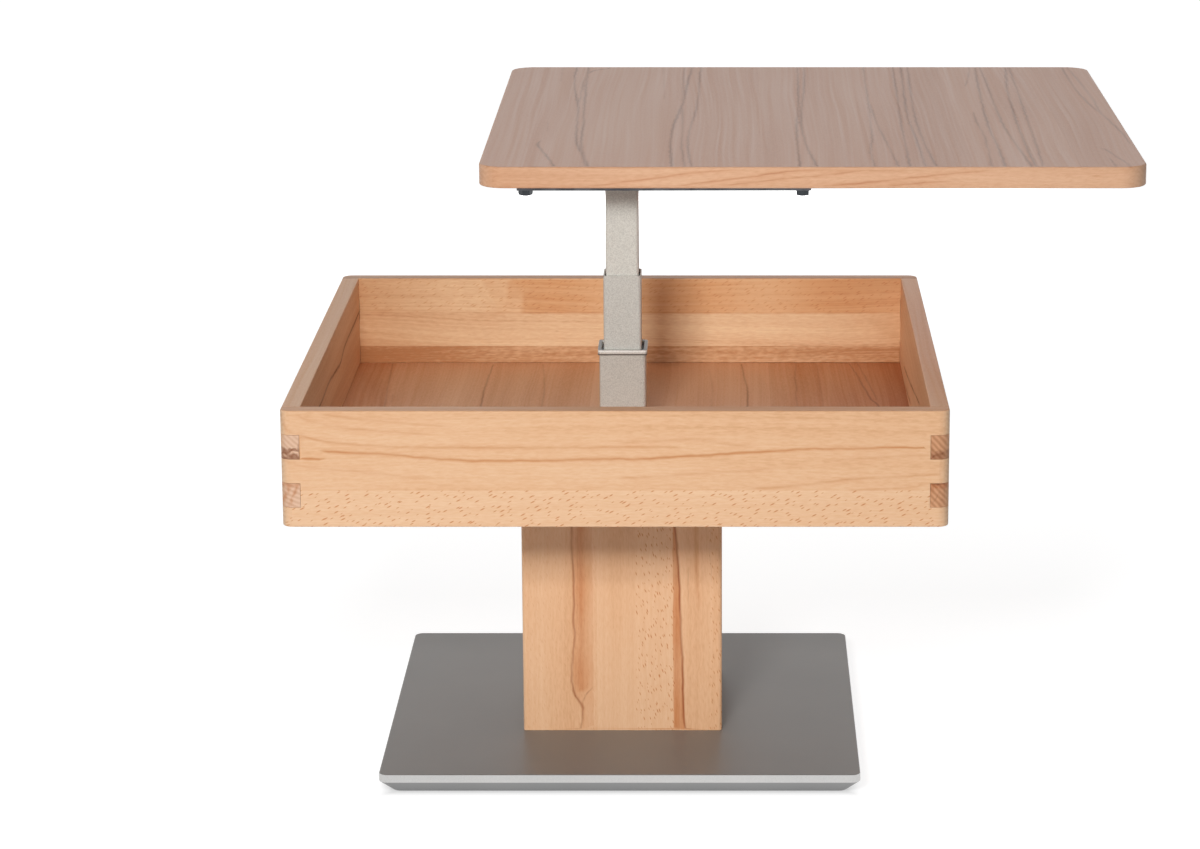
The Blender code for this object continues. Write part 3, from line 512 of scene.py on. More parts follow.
# %% Cut veins into a face
def cut_veins(piece, facing, veins, seed=1):
    """Cuts veins into the outermost flat face on one side of a piece.

    A vein is its kind, how dark it is, and its points, each with a half width, in millimetres.
    """
    rng = random.Random(seed)
    shape = bmesh.new()
    shape.from_mesh(piece.data)
    stores = {}
    for kind in ("blush", "heart", "shade"):
        stores[kind] = shape.verts.layers.float.get(kind) or shape.verts.layers.float.new(kind)
    facing = Vector(facing)
    flat = [i for i in range(3) if abs(facing[i]) < 0.5]
    depth = [i for i in range(3) if abs(facing[i]) > 0.5][0]
    outermost = max(v.co.dot(facing) for v in shape.verts)
    region = {f for f in shape.faces if f.normal.dot(facing) > STRAIGHT
              and outermost - f.calc_center_median().dot(facing) < 1e-5}
    corners = np.array([[[loop.vert.co[i] for i in flat] for loop in loops] for loops in shape.calc_loop_triangles()
                        if loops[0].face in region])
    rim_edges = [e for e in shape.edges if sum(f in region for f in e.link_faces) == 1]
    rim = list(dict.fromkeys(v for e in rim_edges for v in e.verts))
    place_of = {v: i for i, v in enumerate(rim)}
    spots = [tuple(v.co[i] for i in flat) for v in rim]
    edges = [tuple(place_of[v] for v in e.verts) for e in rim_edges]
    paths = lay_veins(veins, corners, rng, spots, edges)

    out, _, faces, origins, _, _ = delaunay_2d_cdt([Vector(s) for s in spots], edges, [], 0, 1e-7)
    keep_index = next(iter(region)).material_index
    level = next(iter(region)).verts[0].co[depth]
    bmesh.ops.delete(shape, geom=list(region), context="FACES_KEEP_BOUNDARY")
    verts = []
    for spot, origin in zip(out, origins):
        known = [i for i in origin if i < len(rim)]
        if known:
            verts.append(rim[known[0]])
        else:
            co = Vector((0, 0, 0))
            co[flat[0]], co[flat[1]], co[depth] = spot[0], spot[1], level
            verts.append(shape.verts.new(co))
    middles = np.array([np.mean([out[i] for i in f], axis=0) for f in faces])
    # The veins run on over the arrises and roundings beside the face.
    done = set(verts)
    verts += [v for v in shape.verts if v not in done
              and any(0.2 < f.normal.dot(facing) < STRAIGHT for f in v.link_faces)]
    flat_spots = np.array([[v.co[i] for i in flat] for v in verts])
    for label, store in stores.items():
        for vert, amount in zip(verts, darkness(label, paths, flat_spots)):
            vert[store] = max(vert[store], float(amount))
    for face, good in zip(faces, inside_faces(corners, middles)):
        ring = [verts[i] for i in face]
        normal = (ring[1].co - ring[0].co).cross(ring[2].co - ring[0].co)
        if good and normal.length > 1e-13:
            if normal.dot(facing) < 0:
                ring.reverse()
            shape.faces.new(ring).material_index = keep_index
    loose = [v for v in shape.verts if not v.link_faces]
    bmesh.ops.delete(shape, geom=loose, context="VERTS")
    shape.to_mesh(piece.data)
    shape.free()
    print(piece.name, "veins:", len(veins), "faces now:", len(piece.data.polygons))


print("veins can be cut into a face")

# %% Heart veins with their borders, seen and guessed
WILD_POINTS = 7


def hearts(veins, half_width=2.4, halo=0.30):
    """Draws heart veins, each a darkness and its points, with reddish borders, both narrower at their ends."""
    drawn = []
    for dark, points in veins:
        ends = [0.6] + [1.0] * (len(points) - 2) + [0.6]
        core = [(x, y, half_width * end) for (x, y), end in zip(points, ends)]
        drawn += [("blush", halo, [(x, y, 2.6 * w) for x, y, w in core]), ("heart", dark, core)]
    return drawn


def wild_veins(seed, count, along, across, swap=False):
    """Veins for a face that the photograph doesn't show: seeded wanderers along the grain, in millimetres."""
    rng = random.Random(seed)
    found = []
    for _ in range(count):
        side = rng.uniform(across[0] + 8, across[1] - 8)
        points = []
        for step in np.linspace(along[0], along[1], WILD_POINTS):
            side = min(max(side + rng.uniform(-5, 5), across[0] + 5), across[1] - 5)
            points.append((side, step) if swap else (step, side))
        found.append((rng.uniform(0.35, 0.75), points))
    return hearts(found)


print("a guessed vein runs through", WILD_POINTS, "points")

# %% [markdown]
# ## The table top
# The top is a 22.5 mm board with its grain from front to back. Its edges are lipped with beech that runs along each
# edge, so the front edge is bright and striped while the face is calm. The corners are rounded and the arrises are
# broken. The frame has board and lipping apart, with a glue gap that the real top doesn't show, so the top is made
# anew as one slab: rings of a rounded square are stacked up its edge. A boolean then cuts the two grooves for the
# rails, and the faces are sorted into veneer and lipping by the way they look.

# %% Build the slab
TOP_CORNER = 0.027
TOP_ARRIS = 0.0018
CORNER_STEPS = 10
ARRIS_STEPS = 4


def rounded_ring(low, high, inset, height, radius):
    """Gives the points of a rounded rectangle, set in from its outline, at a height."""
    points = []
    for i, (cx, cy) in enumerate(((high.x, high.y), (low.x, high.y), (low.x, low.y), (high.x, low.y))):
        centre = Vector((cx - math.copysign(radius, cx - (low.x + high.x) / 2),
                         cy - math.copysign(radius, cy - (low.y + high.y) / 2), height))
        for step in range(CORNER_STEPS + 1):
            turn = math.pi / 2 * (i + step / CORNER_STEPS)
            points.append(centre + Vector((math.cos(turn), math.sin(turn), 0)) * (radius - inset))
    return points


def block_between(low, high, name):
    """Makes a plain block, used only as a cutter."""
    shape = bmesh.new()
    bmesh.ops.create_cube(shape, size=1.0)
    for v in shape.verts:
        v.co = Vector(((low[i] + high[i]) / 2 + v.co[i] * (high[i] - low[i]) for i in range(3)))
    return new_piece(shape, name)


low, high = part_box("top_edge_band")
profile = []
for step in range(ARRIS_STEPS + 1):
    turn = math.pi / 2 * step / ARRIS_STEPS
    profile.append((TOP_ARRIS * (1 - math.sin(turn)), low.z + TOP_ARRIS * (1 - math.cos(turn))))
for inset, height in list(reversed(profile)):
    profile.append((inset, high.z - (height - low.z)))
shape = bmesh.new()
rings = [[shape.verts.new(p) for p in rounded_ring(low, high, inset, height, TOP_CORNER)]
         for inset, height in profile]
for lower, upper in zip(rings, rings[1:]):
    for i in range(len(lower)):
        j = (i + 1) % len(lower)
        shape.faces.new((lower[i], lower[j], upper[j], upper[i]))
shape.faces.new(list(reversed(rings[0])))
shape.faces.new(rings[-1])
table_top = new_piece(shape, "table_top_slab")
print("slab from", tuple(low), "to", tuple(high))

# %% Cut the grooves and sort the faces
GROOVE_ROOM = 0.0003
LIPPING_DEPTH = 0.012
for rail in ("top_rail_front", "top_rail_back"):
    rail_low, rail_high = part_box(rail)
    cutter = block_between((rail_low.x - GROOVE_ROOM, rail_low.y - GROOVE_ROOM, rail_low.z - 0.01),
                           (rail_high.x + GROOVE_ROOM, rail_high.y + GROOVE_ROOM, rail_high.z + GROOVE_ROOM),
                           "cutter")
    cut = table_top.modifiers.new("groove", "BOOLEAN")
    cut.operation = "DIFFERENCE"
    cut.object = cutter
    bpy.context.view_layer.update()
    done = bpy.data.meshes.new_from_object(table_top.evaluated_get(bpy.context.evaluated_depsgraph_get()))
    table_top.modifiers.clear()
    table_top.data = done
    bpy.data.objects.remove(cutter)
for face in table_top.data.polygons:
    depth = min(abs(face.center.x - low.x), abs(face.center.x - high.x), abs(face.center.y - low.y),
                abs(face.center.y - high.y))
    face.material_index = 0
    if abs(face.normal.z) < 0.9 and depth < LIPPING_DEPTH:
        face.material_index = 2 if abs(face.normal.x) > abs(face.normal.y) else 1
print("slab faces:", len(table_top.data.polygons))

# %% [markdown]
# The veins of the top were measured in the photograph: they run from the front edge to the back in groups of two or
# three, with plain wood between them. On the front edge the lipping shows the layers of the trunk as long slanted
# stripes.

# %% Draw the veins of the top
TOP_FACE_VEINS = (
    (0.66, [(-62, -336), (-73, -269), (-83, -214), (-82, -175)]),
    (0.72, [(-29, -336), (-35, -269), (-43, -197), (-47, -76), (-50, 38), (-57, 152), (-62, 258), (-62, 331)]),
    (0.50, [(-50, 38), (-50, 170), (-49, 267), (-41, 316), (-24, 331)]),
    (0.70, [(-26, -336), (-32, -283), (-38, -197), (-40, -76), (-44, 85), (-47, 258), (-48, 331)]),
    (0.78, [(60, -336), (57, -197), (59, -92), (65, 19), (69, 101), (72, 222), (76, 331)]),
    (0.50, [(73, -336), (69, -212), (69, -76), (67, 85), (67, 331)]),
    (0.62, [(80, -336), (76, -226), (77, -107), (82, -10), (85, 118), (86, 258), (87, 331)]),
    (0.68, [(192, -336), (192, -212), (194, -76), (199, 85), (203, 331)]),
    (0.66, [(209, -336), (202, -226), (199, -107), (200, -13), (207, 170), (211, 331)]),
    (0.22, [(42, 331), (47, 85)]),
    (0.22, [(-79, 331), (-77, 222)]),
    (0.22, [(-80, -53), (-76, -137)]),
    (0.58, [(269, -336), (268, -255), (273, -167), (275, -61), (278, 68), (280, 205), (282, 327)]),
    (0.52, [(293, -336), (289, -233), (283, -107), (280, 19), (280, 76)]),
    (0.66, [(305, -336), (307, -182), (309, -45), (313, 118), (317, 327)]),
    (0.72, [(321, -336), (320, -182), (318, -29), (321, 118), (327, 327)]),
    (0.66, [(332, -336), (328, -219), (326, -76), (328, 85), (335, 327)]),
    (0.52, [(389, -336), (392, -255), (394, -152), (392, -61), (393, 16)]),
    (0.78, [(403, -336), (404, -226), (403, -125), (405, 3), (410, 170), (416, 327)]),
    (0.40, [(409, 327), (403, 258), (395, 184)]),
    (0.66, [(430, -336), (425, -226), (420, -92), (420, 60), (422, 222), (422, 327)]),
    (0.76, [(435, -336), (434, -255), (435, -122), (438, 19), (442, 152), (452, 327)]),
    (0.62, [(442, -336), (445, -226), (448, -92), (452, 85), (455, 222), (457, 327)]),
    (0.52, [(521, 327), (522, 187), (528, 60), (537, -29), (544, -130), (546, -214)]),
    (0.46, [(528, 327), (532, 222), (535, 101), (535, 3), (544, -122)]),
    (0.46, [(506, -223), (516, -238), (523, -283), (531, -330)]),
    (0.42, [(514, -283), (517, -333)]),
)
FRONT_EDGE_VEINS = (
    (0.30, [(-29, 690), (7, 695), (54, 701), (77, 705), (136, 709)]),
    (0.34, [(63, 691), (101, 696), (148, 702), (184, 707), (212, 709)]),
    (0.28, [(108, 691), (148, 696), (184, 700), (212, 702)]),
    (0.22, [(2, 695), (42, 699)]),
    (0.26, [(191, 700), (226, 704), (262, 708)]),
    (0.34, [(201, 690), (250, 694), (297, 699), (345, 704), (392, 708)]),
    (0.28, [(269, 690), (309, 694), (356, 698)]),
    (0.30, [(489, 702), (505, 702)]),
)
# Millimetres from the middle of the top: veins that end beyond the first run out over the edge, to the second.
NEAR_EDGE, PAST_EDGE = 320, 352


def run_out(points):
    """Takes a vein that comes close to the front or back edge of the top on over that edge."""
    first, last = points[0], points[-1]
    before = [(first[0], math.copysign(PAST_EDGE, first[1]))] if abs(first[1]) > NEAR_EDGE else []
    after = [(last[0], math.copysign(PAST_EDGE, last[1]))] if abs(last[1]) > NEAR_EDGE else []
    return before + list(points) + after


# A line without any darkness only adds vertices. These lie close to the front and back edges, so that the veins
# reach them.
TOP_RIM_LINES = [("blush", 0.0, [(x, y, 0.3) for x in range(-110, 521, 5)]) for y in (-341.8, 341.8)]
# The lipping grows a little darker towards its left end.
LIPPING_SHADE = [("shade", 0.60, [(-140, 670, 220), (-140, 730, 220)])]
# The darkness was judged from the photograph, where the lines are blurred. Drawn sharply, they need to be darker.
FACE_DEEPER, EDGE_DEEPER = 1.22, 1.6
face_veins = [(dark * FACE_DEEPER, run_out(points)) for dark, points in TOP_FACE_VEINS]
edge_veins = [(dark * EDGE_DEEPER, points) for dark, points in FRONT_EDGE_VEINS]
cut_veins(table_top, (0, 0, 1), hearts(face_veins, 3.3) + TOP_RIM_LINES, 11)
cut_veins(table_top, (0, -1, 0), hearts(edge_veins, 1.8, 0.4) + LIPPING_SHADE, 12)
for facing, span, seed, path_seed in (((0, 1, 0), (-110, 520), 21, 13), ((1, 0, 0), (-310, 310), 22, 14),
                                      ((-1, 0, 0), (-310, 310), 23, 15)):
    cut_veins(table_top, facing, wild_veins(seed, 4, span, (691, 708)), path_seed)

TOP_STAVES = ((-150, 0.50, 0.06), (-97, 0.44, 0.04), (43, 0.52, 0.05), (154, 0.46, 0.05), (258, 0.54, 0.05),
              (366, 0.47, 0.05), (478, 0.53, 0.06))
FACE_TONES = ("#EBC1A7", "#DBA88C", "#BB8364")
veneer = core_beech("core beech veneer, oiled", "Y", TOP_STAVES, "Z", (0.10, 0.03, 0.012, 0.05), 0.02, "#B2A498",
                    gloss=0.42, tones=FACE_TONES, seed=0.11)
LIPPING_TONES = ("#F7D4B6", "#E9BB98", "#CB9068")
# The lipping is bent round the corners, so no cut ends show there.
LIPPING_ENDS = ("#E9BD9B", "#DFB08D")
lipping_wide, lipping_deep = (
    core_beech("core beech lipping, sanded, along the " + where, grain, ((600, 0.64, 0.10),), side, vein="#D2A684",
               ends=LIPPING_ENDS, tones=LIPPING_TONES, seed=seed)
    for where, grain, side, seed in (("front", "X", "Y", 0.23), ("sides", "Y", "X", 0.41)))
hand_over(table_top, "table_top", "core_beech", (veneer, lipping_wide, lipping_deep), "top_board", "top_edge_band")

# %% [markdown]
# ## The storage box
# Four 20 mm walls are joined at the corners with fingers, and the ends of the side walls show in the front as four
# darker squares: end grain soaks up more oil. The front is glued up from a wide plain board and a narrow flecked one
# below it. A long vein sags through the wide board. The walls are clean copies of the frame's, so their fingers mesh
# as they were cut.

# %% Draw the front and back walls
BOX_FRONT_VEINS = (
    (0.85, [(-312, 413), (-299, 411), (-264, 409), (-237, 408), (-209, 405), (-181, 403), (-154, 401), (-126, 401),
            (-80, 401), (-34, 402), (4, 403), (29, 403), (75, 406), (109, 408), (144, 410), (178, 412), (201, 414),
            (236, 414), (293, 415), (323, 415)]),
    (0.24, [(-347, 401), (-322, 394), (-299, 392), (-276, 390), (-249, 387), (-219, 384), (-182, 382)]),
    (0.45, [(-348, 451), (-346, 440), (-340, 433), (-320, 426), (-289, 420), (-226, 416), (-121, 415), (-58, 415),
            (25, 416), (78, 415)]),
    (0.30, [(-334, 453), (-324, 446), (-299, 439), (-247, 433), (-184, 429)]),
    (0.26, [(-308, 453), (-283, 448), (-226, 442), (-163, 437)]),
    (0.95, [(-336, 403), (-318, 403), (-301, 402.5)]),
    (0.45, [(132, 370), (178, 373), (201, 375), (236, 380), (282, 383), (339, 386)]),
    (0.35, [(236, 368), (270, 370), (317, 373)]),
    (0.32, [(-6, 382), (40, 384), (86, 387), (132, 390), (178, 393)]),
    (0.32, [(213, 401), (236, 402), (282, 405), (328, 407)]),
    (0.32, [(-6, 420), (40, 422), (86, 424), (114, 419), (155, 416)]),
)
BACK_INSIDE_VEINS = (
    (0.36, [(-206, 351), (-192, 355), (-177, 360), (-161, 366)]),
    (0.26, [(-163, 366), (-120, 363), (-73, 359)]),
    (0.26, [(38, 354), (85, 366), (116, 368)]),
    (0.50, [(-304, 410), (-298, 410)]),
    (0.45, [(-199, 385), (-193, 385)]),
    (0.45, [(-92, 389), (-86, 389)]),
)
# The corners of the box lie deeper in shade than these few lamps make them, so the wood darkens towards them.
BACK_CORNERS = [("shade", 1.0, [(-335, 300, 250), (-335, 490, 250)]),
                ("shade", 0.8, [(340, 300, 190), (340, 490, 190)])]
# The top board of the back wall turns redder from its middle on.
BACK_BLUSH = [("blush band", 0.35, [(-160, 436, 27), (345, 436, 27)]),
              ("blush band", 0.80, [(-125, 436, 27), (345, 436, 27)])]
# A line without any darkness only adds vertices, here just below the rim, where the blush would else be smeared.
BACK_RIM_LINE = [("blush", 0.0, [(-328, 452, 0.5), (328, 452, 0.5)])]
print("veins in the front:", len(BOX_FRONT_VEINS), "and inside the back:", len(BACK_INSIDE_VEINS))

# %% Cut and finish the front and back walls
# The rims get tones of their own, a little darker than the faces of the walls, as the flat upper edges look in the
# low light: partly painted shade. The back rim is darker still: painted shade, for the darker things it mirrors.
RIM_TONES = ("#F4C9A2", "#E5AF82", "#C88A5A")
BACK_RIM_SHADED_TONES = ("#DFB795", "#D19F77", "#B77D53")
# The corners of the box are rounded by 11 mm. They are cut every 2.5 mm for the drawing on the fingers.
CORNER_SLICES = [0.3315 + 0.0025 * i for i in range(49)]
WALL_ARRIS, SIDE_ARRIS = 0.0006, 0.0011
rim_front, rim_back, rim_side = (
    core_beech("core beech, oiled, " + where, grain, ((-500, depth, 0.05),), "Z", gloss=0.44, tones=tones, seed=seed)
    for where, grain, depth, tones, seed in (
        ("rim of the front", "X", 0.52, RIM_TONES, 0.19), ("rim of the back", "X", 0.52, BACK_RIM_SHADED_TONES, 0.19),
        ("rims of the sides", "Y", 0.46, RIM_TONES, 0.29)))


def mark_rim(wall):
    """Gives the upper edge of a wall, which is seen as flatly as the top, the second finish: partly painted shade."""
    for face in wall.data.polygons:
        face.material_index = int(face.normal.z > 0.9)


box_front = clean_copy("box_front", "box_front_wall", WALL_ARRIS, slices=CORNER_SLICES)
cut_veins(box_front, (0, -1, 0), hearts(BOX_FRONT_VEINS, 2.8), 31)
cut_veins(box_front, (0, 1, 0), wild_veins(32, 4, (-320, 320), (352, 450)), 32)
front_beech = core_beech("core beech boards, oiled, box front", "X", ((200, 0.29, 0.95), (368, 0.44, 0.05)), "Y",
                         (0.10, 0.06, 0.05, 0.09), vein="#DBB381", ends=("#EFC8A2", "#E6BC94"), seed=0.05)
mark_rim(box_front)
hand_over(box_front, "stand", "core_beech", (front_beech, rim_front), "box_front")

box_back = clean_copy("box_back", "box_back_wall", WALL_ARRIS, slices=CORNER_SLICES)
cut_veins(box_back, (0, -1, 0),
          hearts(BACK_INSIDE_VEINS, 2.0, 0.2) + BACK_CORNERS + BACK_BLUSH + BACK_RIM_LINE, 33)
cut_veins(box_back, (0, 1, 0), wild_veins(34, 5, (-325, 325), (335, 450)), 34)
back_beech = core_beech("core beech boards, oiled, box back", "X",
                        ((200, 0.86, 0.12), (366.5, 0.42, 0.08), (410, 0.06, 0.50)), "Y",
                        (0.26, 0.16, 0.12, 0.14), 0.05, "#C4A68D", ("#EDC7A2", "#E2B88F"),
                        tones=("#F2D1A8", "#E3BA92", "#C08C62"), seed=0.57)
mark_rim(box_back)
hand_over(box_back, "stand", "core_beech", (back_beech, rim_back), "box_back")

# %% Draw the side walls
LEFT_INSIDE_VEINS = (
    (0.95, [(345, 414), (274, 412.5), (149, 412), (86, 404), (-27, 411), (-138, 409), (-300, 412)]),
)
RIGHT_INSIDE_VEINS = ((0.80, [(225, 351), (189, 352), (61, 362)]), (0.90, [(239, 367), (66, 384), (-131, 408)]))
# The upper left finger is dark heartwood below, with one pale line winding through it.
LEFT_FINGER_VEINS = (
    ("heart band", 1.0, [(-353, 413.8, 0.8), (-348.5, 411.6, 3.0), (-346, 410.7, 3.9), (-343, 411.1, 3.5),
                         (-340, 412.6, 2.0), (-337, 413.1, 1.5), (-334, 412.7, 1.9), (-327, 412.5, 2.1)]),
    ("heart band", 1.0, [(-353, 400, 12.0), (-348.5, 400, 7.4), (-346, 400, 5.6), (-343, 400, 6.4),
                         (-340, 400, 9.4), (-337, 400, 10.4), (-334, 400, 9.7), (-327, 400, 9.2)]),
    ("blush band", 0.80, [(-352, 377, 5.5), (-328, 377, 5.5)]),
    ("blush", 1.0, [(-352, 350, 3.4), (-343, 368, 3.4), (-340, 374, 3.4)]),
    ("blush", 0.9, [(-342, 350, 3.0), (-336, 366, 3.2), (-333, 374, 3.0)]),
)
RIGHT_FINGER_VEINS = (
    ("heart band", 0.62, [(326, 404, 8.5), (354, 404, 8.5)]),
    ("heart", 0.90, [(329, 405, 2.0), (337, 407, 2.2), (344, 409, 2.4), (350, 412, 2.0)]),
    ("blush band", 0.85, [(326, 380, 9.5), (354, 380, 9.5)]),
    ("heart", 0.90, [(331, 377, 2.0), (337, 376, 2.6), (347, 378, 1.4)]),
    ("heart", 0.40, [(333, 356, 1.6), (338, 364, 2.0), (341, 370, 1.4)]),
    ("heart", 0.40, [(341, 356, 1.6), (345, 364, 2.0), (347, 370, 1.4)]),
)
for label, outward, inside, ends, cut_ends in (
        ("left", -1, LEFT_INSIDE_VEINS, LEFT_FINGER_VEINS, ("#E8C2A6", "#DAB092")),
        ("right", 1, RIGHT_INSIDE_VEINS, RIGHT_FINGER_VEINS, ("#D6A07A", "#BA825A"))):
    wall = clean_copy("box_" + label, "box_" + label + "_wall", SIDE_ARRIS, slices=CORNER_SLICES)
    cut_veins(wall, (-outward, 0, 0), hearts(inside, 3.4, 0.45), 35)
    cut_veins(wall, (outward, 0, 0), wild_veins(36 + outward, 5, (-325, 325), (335, 450)), 36)
    cut_veins(wall, (0, -1, 0), ends, 37)
    side_beech = core_beech("core beech boards, oiled, box " + label, "Y", ((200, 0.66, 0.10), (380, 0.62, 0.08)),
                            "X", ends=cut_ends, vein="#9A7458", seed=0.31 + outward * 0.2)
    mark_rim(wall)
    hand_over(wall, "stand", "core_beech", (side_beech, rim_side), "box_" + label)

# %% [markdown]
# The floor of the box lies in grooves of the walls, with its grain from front to back. It shows the strongest veins
# of all the pieces inside, and a square hole lets the telescope through.

# %% Draw the floor of the box
BOX_FLOOR_VEINS = (
    (0.50, [(-290, 324), (-286, 215), (-284, 164), (-282, 110), (-280, -100), (-284, -326)]),
    (0.35, [(-277, 174), (-274, 115)]),
    (0.70, [(-167, 321), (-169, 245), (-170, 174), (-169, 110), (-166, -80), (-170, -326)]),
    (0.40, [(-106, 321), (-99, 194), (-98, 110), (-100, -120), (-96, -326)]),
    (0.25, [(96, 308), (101, 194), (100, 125), (98, -60)]),
    (0.70, [(136, 324), (139, 256), (142, 194), (142, 110), (138, -90), (140, -326)]),
    (0.45, [(203, 324), (200, 256), (201, 194), (200, 115), (205, -326)]),
    (0.30, [(228, 321), (229, 215), (230, 115), (226, -150)]),
    (0.70, [(268, 324), (275, 266), (282, 194), (288, 135), (294, 110), (302, -20), (304, -326)]),
    (0.50, [(278, 324), (283, 276), (288, 215), (295, 125)]),
)
# Along the side walls the floor is painted redder and darker, as painted shade warmed by the light that the walls
# throw back: how red or dark, and how far each reaches.
FLOOR_SIDES = [(kind, dark, [(x, -370, reach), (x, 370, reach)]) for x, kind, dark, reach in (
    (-345, "blush", 0.40, 90), (-345, "shade", 1.0, 130), (345, "blush", 0.62, 140), (345, "shade", 1.0, 180))]
box_floor = clean_copy("box_floor", "box_floor_board")
cut_veins(box_floor, (0, 0, 1), hearts(BOX_FLOOR_VEINS, 2.6, 0.4) + FLOOR_SIDES, 41)
floor_beech = core_beech("core beech boards, oiled, box floor", "Y",
                         ((-400, 0.72, 0.05), (-264, 0.62, 0.08), (-150, 0.62, 0.05), (-48, 0.46, 0.06),
                          (60, 0.58, 0.05), (166, 0.72, 0.06), (236, 0.78, 0.05)), "Z", vein="#A88E7C",
                         tones=("#F2C7A3", "#E3AE85", "#C48252"), seed=0.77)
hand_over(box_floor, "stand", "core_beech", (floor_beech,), "box_floor")

# %% [markdown]
# ## The pedestal
# The column is a square hollow of four boards with rounded upright edges. Its front is the liveliest piece of wood:
# five staves, one with a dark forked vein in a blushed zone, one full of slanted flecks, and one with a reddish heart
# strip that ends in a dark line.

# %% Draw the boards of the column
COLUMN_FRONT_VEINS = (
    ("blush band", 0.50, [(-44.3, 334, 12.3), (-44.3, 200, 12.3), (-44.3, 84, 12.3), (-41, 66, 9.0), (-39, 50, 7.0),
                          (-39.2, 20, 7.2)]),
    ("heart", 0.80, [(-57, 330, 3.0), (-56, 261, 2.6), (-56, 235, 2.4), (-55, 218, 2.2), (-54, 200, 2.2),
                     (-54, 173, 2.2), (-55, 148, 2.6), (-53, 140, 2.4), (-55, 119, 2.4), (-57, 101, 2.6),
                     (-57, 83, 2.6), (-55, 71, 2.6), (-51, 62, 2.6), (-46, 55, 3.2), (-45, 47, 2.8), (-46, 36, 2.4),
                     (-48, 27, 2.4)]),
    ("heart", 0.60, [(-46, 55, 2.6), (-43, 63, 2.0), (-40, 69, 1.8), (-36, 73, 1.6), (-33, 78, 1.2)]),
    ("blush band", 0.90, [(57.6, 334, 1.2), (58.4, 261, 1.6), (60.6, 209, 3.6), (61.6, 146, 4.6), (62.6, 92, 5.6),
                          (64.0, 20, 7.0)]),
    ("heart", 0.95, [(58, 330, 2.6), (60, 261, 2.6), (62, 235, 2.4), (64, 209, 2.4), (65, 182, 2.4), (66, 146, 2.6),
                     (67, 119, 2.6), (68, 92, 2.4), (68, 65, 2.6), (69, 42, 2.6), (71, 27, 2.4)]),
    ("blush", 0.70, [(83, 330, 5.0), (83, 261, 5.0), (84, 209, 4.5), (87, 164, 3.0)]),
    ("blush", 0.60, [(62, 334, 24.0), (64, 300, 24.0)]),
    ("heart", 0.32, [(101, 345, 1.4), (100, 261, 1.6), (98, 239, 1.6), (100, 212, 1.6), (100, 186, 1.0)]),
    ("heart", 0.40, [(74, 219, 1.6), (74, 195, 1.8), (74, 168, 1.2)]),
    ("blush", 0.90, [(-47, 345, 11.0), (-46, 200, 10.0), (-46, 90, 10.0), (-42, 62, 6.0)]),
)
column_front = clean_copy("column_front", "column_front_board")
cut_veins(column_front, (0, -1, 0), COLUMN_FRONT_VEINS, 51)
front_staves = core_beech("core beech staves, oiled, column front", "Z",
                          ((-150, 0.47, 0.20), (-32, 0.45, 0.10), (12.5, 0.34, 1.0), (57, 0.48, 0.12),
                           (95, 0.52, 0.80)), "Y", vein="#B4825D", slant=18.0, fleck_size=0.86,
                          seed=0.63)
hand_over(column_front, "stand", "core_beech", (front_staves,), "column_front")
SIDE_STAVES = ((-150, 0.50, 0.10), (-58, 0.44, 0.30), (-8, 0.55, 0.12), (46, 0.47, 0.15))
for label, facing, side, seed in (("back", (0, 1, 0), "Y", 61), ("left", (-1, 0, 0), "X", 62),
                                  ("right", (1, 0, 0), "X", 63)):
    board = clean_copy("column_" + label, "column_" + label + "_board")
    cut_veins(board, facing, wild_veins(seed, 4, (25, 328), (-88, 88), swap=True), seed)
    staves = core_beech("core beech staves, oiled, column " + label, "Z", SIDE_STAVES, side, vein="#B4825D",
                        seed=seed * 0.13 % 1)
    hand_over(board, "stand", "core_beech", (staves,), "column_" + label)

# %% [markdown]
# ## Steel with a coat
# The base is a folded steel cover in a grey metallic lacquer, flat from above, where it mirrors the column softly.
# Its upright rim is much lighter: it gets a bare steel finish that is lightened, painted light for the light it
# catches, and the lip folded in under it gets a darker copy of that steel, painted shade. The tubes of the telescope
# have a warmer, coarser powder coat with metal flakes. The coats are part paint and part metal, so their shader is
# only partly metallic. The flakes are a fine noise, drawn at about a millimetre so that they show. The rim and the
# lip are sorted from the rest of the cover by the way their faces look. The collar on the outer tube is cut into
# strips: its upper arris gets a painted highlight, and a band of painted shadow runs round its foot.

# %% Mix the coats
def flaked_coat(name, dark, light, metallic=0.06, roughness=0.42, flake=0.0012):
    """A metallic coat: paint with metal flakes in it, slightly uneven in tone and gloss, like orange peel."""
    finish, tree, shader = new_finish(name)
    spot = put(tree, "TexCoord").outputs["Object"]
    flakes = put(tree, "TexNoise", {"Vector": spot, "Scale": 1 / flake, "Detail": 2.0})
    cloud = put(tree, "TexNoise", {"Vector": spot, "Scale": 9.0, "Detail": 2.0})
    both = put(tree, "Math", {0: cloud, 1: 0.45, 2: flakes}, operation="MULTIPLY_ADD")
    mix = put(tree, "MapRange", {"Value": both, "From Min": 0.52, "From Max": 0.92})
    colour = put(tree, "Mix", {0: mix, 6: paint(dark), 7: paint(light)}, data_type="RGBA").outputs[2]
    gloss = put(tree, "MapRange", {"Value": flakes, "From Min": 0.3, "From Max": 0.7, "To Min": roughness - 0.05,
                                   "To Max": roughness + 0.05})
    peel = put(tree, "Bump", {"Strength": 0.10, "Distance": 0.0002, "Height": flakes})
    feed(shader, {"Base Color": colour, "Metallic": metallic, "Roughness": gloss, "Normal": peel})
    return finish


base_lacquer = flaked_coat("grey metallic lacquer, sprayed", "#777674", "#807F7D", 0.10)
rim_painted_light = flaked_coat("steel rim, lightened as painted light", "#C6C6C5", "#D2D2D1", 1.0, 0.50, 0.0008)
lip_painted_shade = flaked_coat("steel lip, darkened as painted shade", "#999999", "#A5A5A5", 1.0, 0.55, 0.0008)
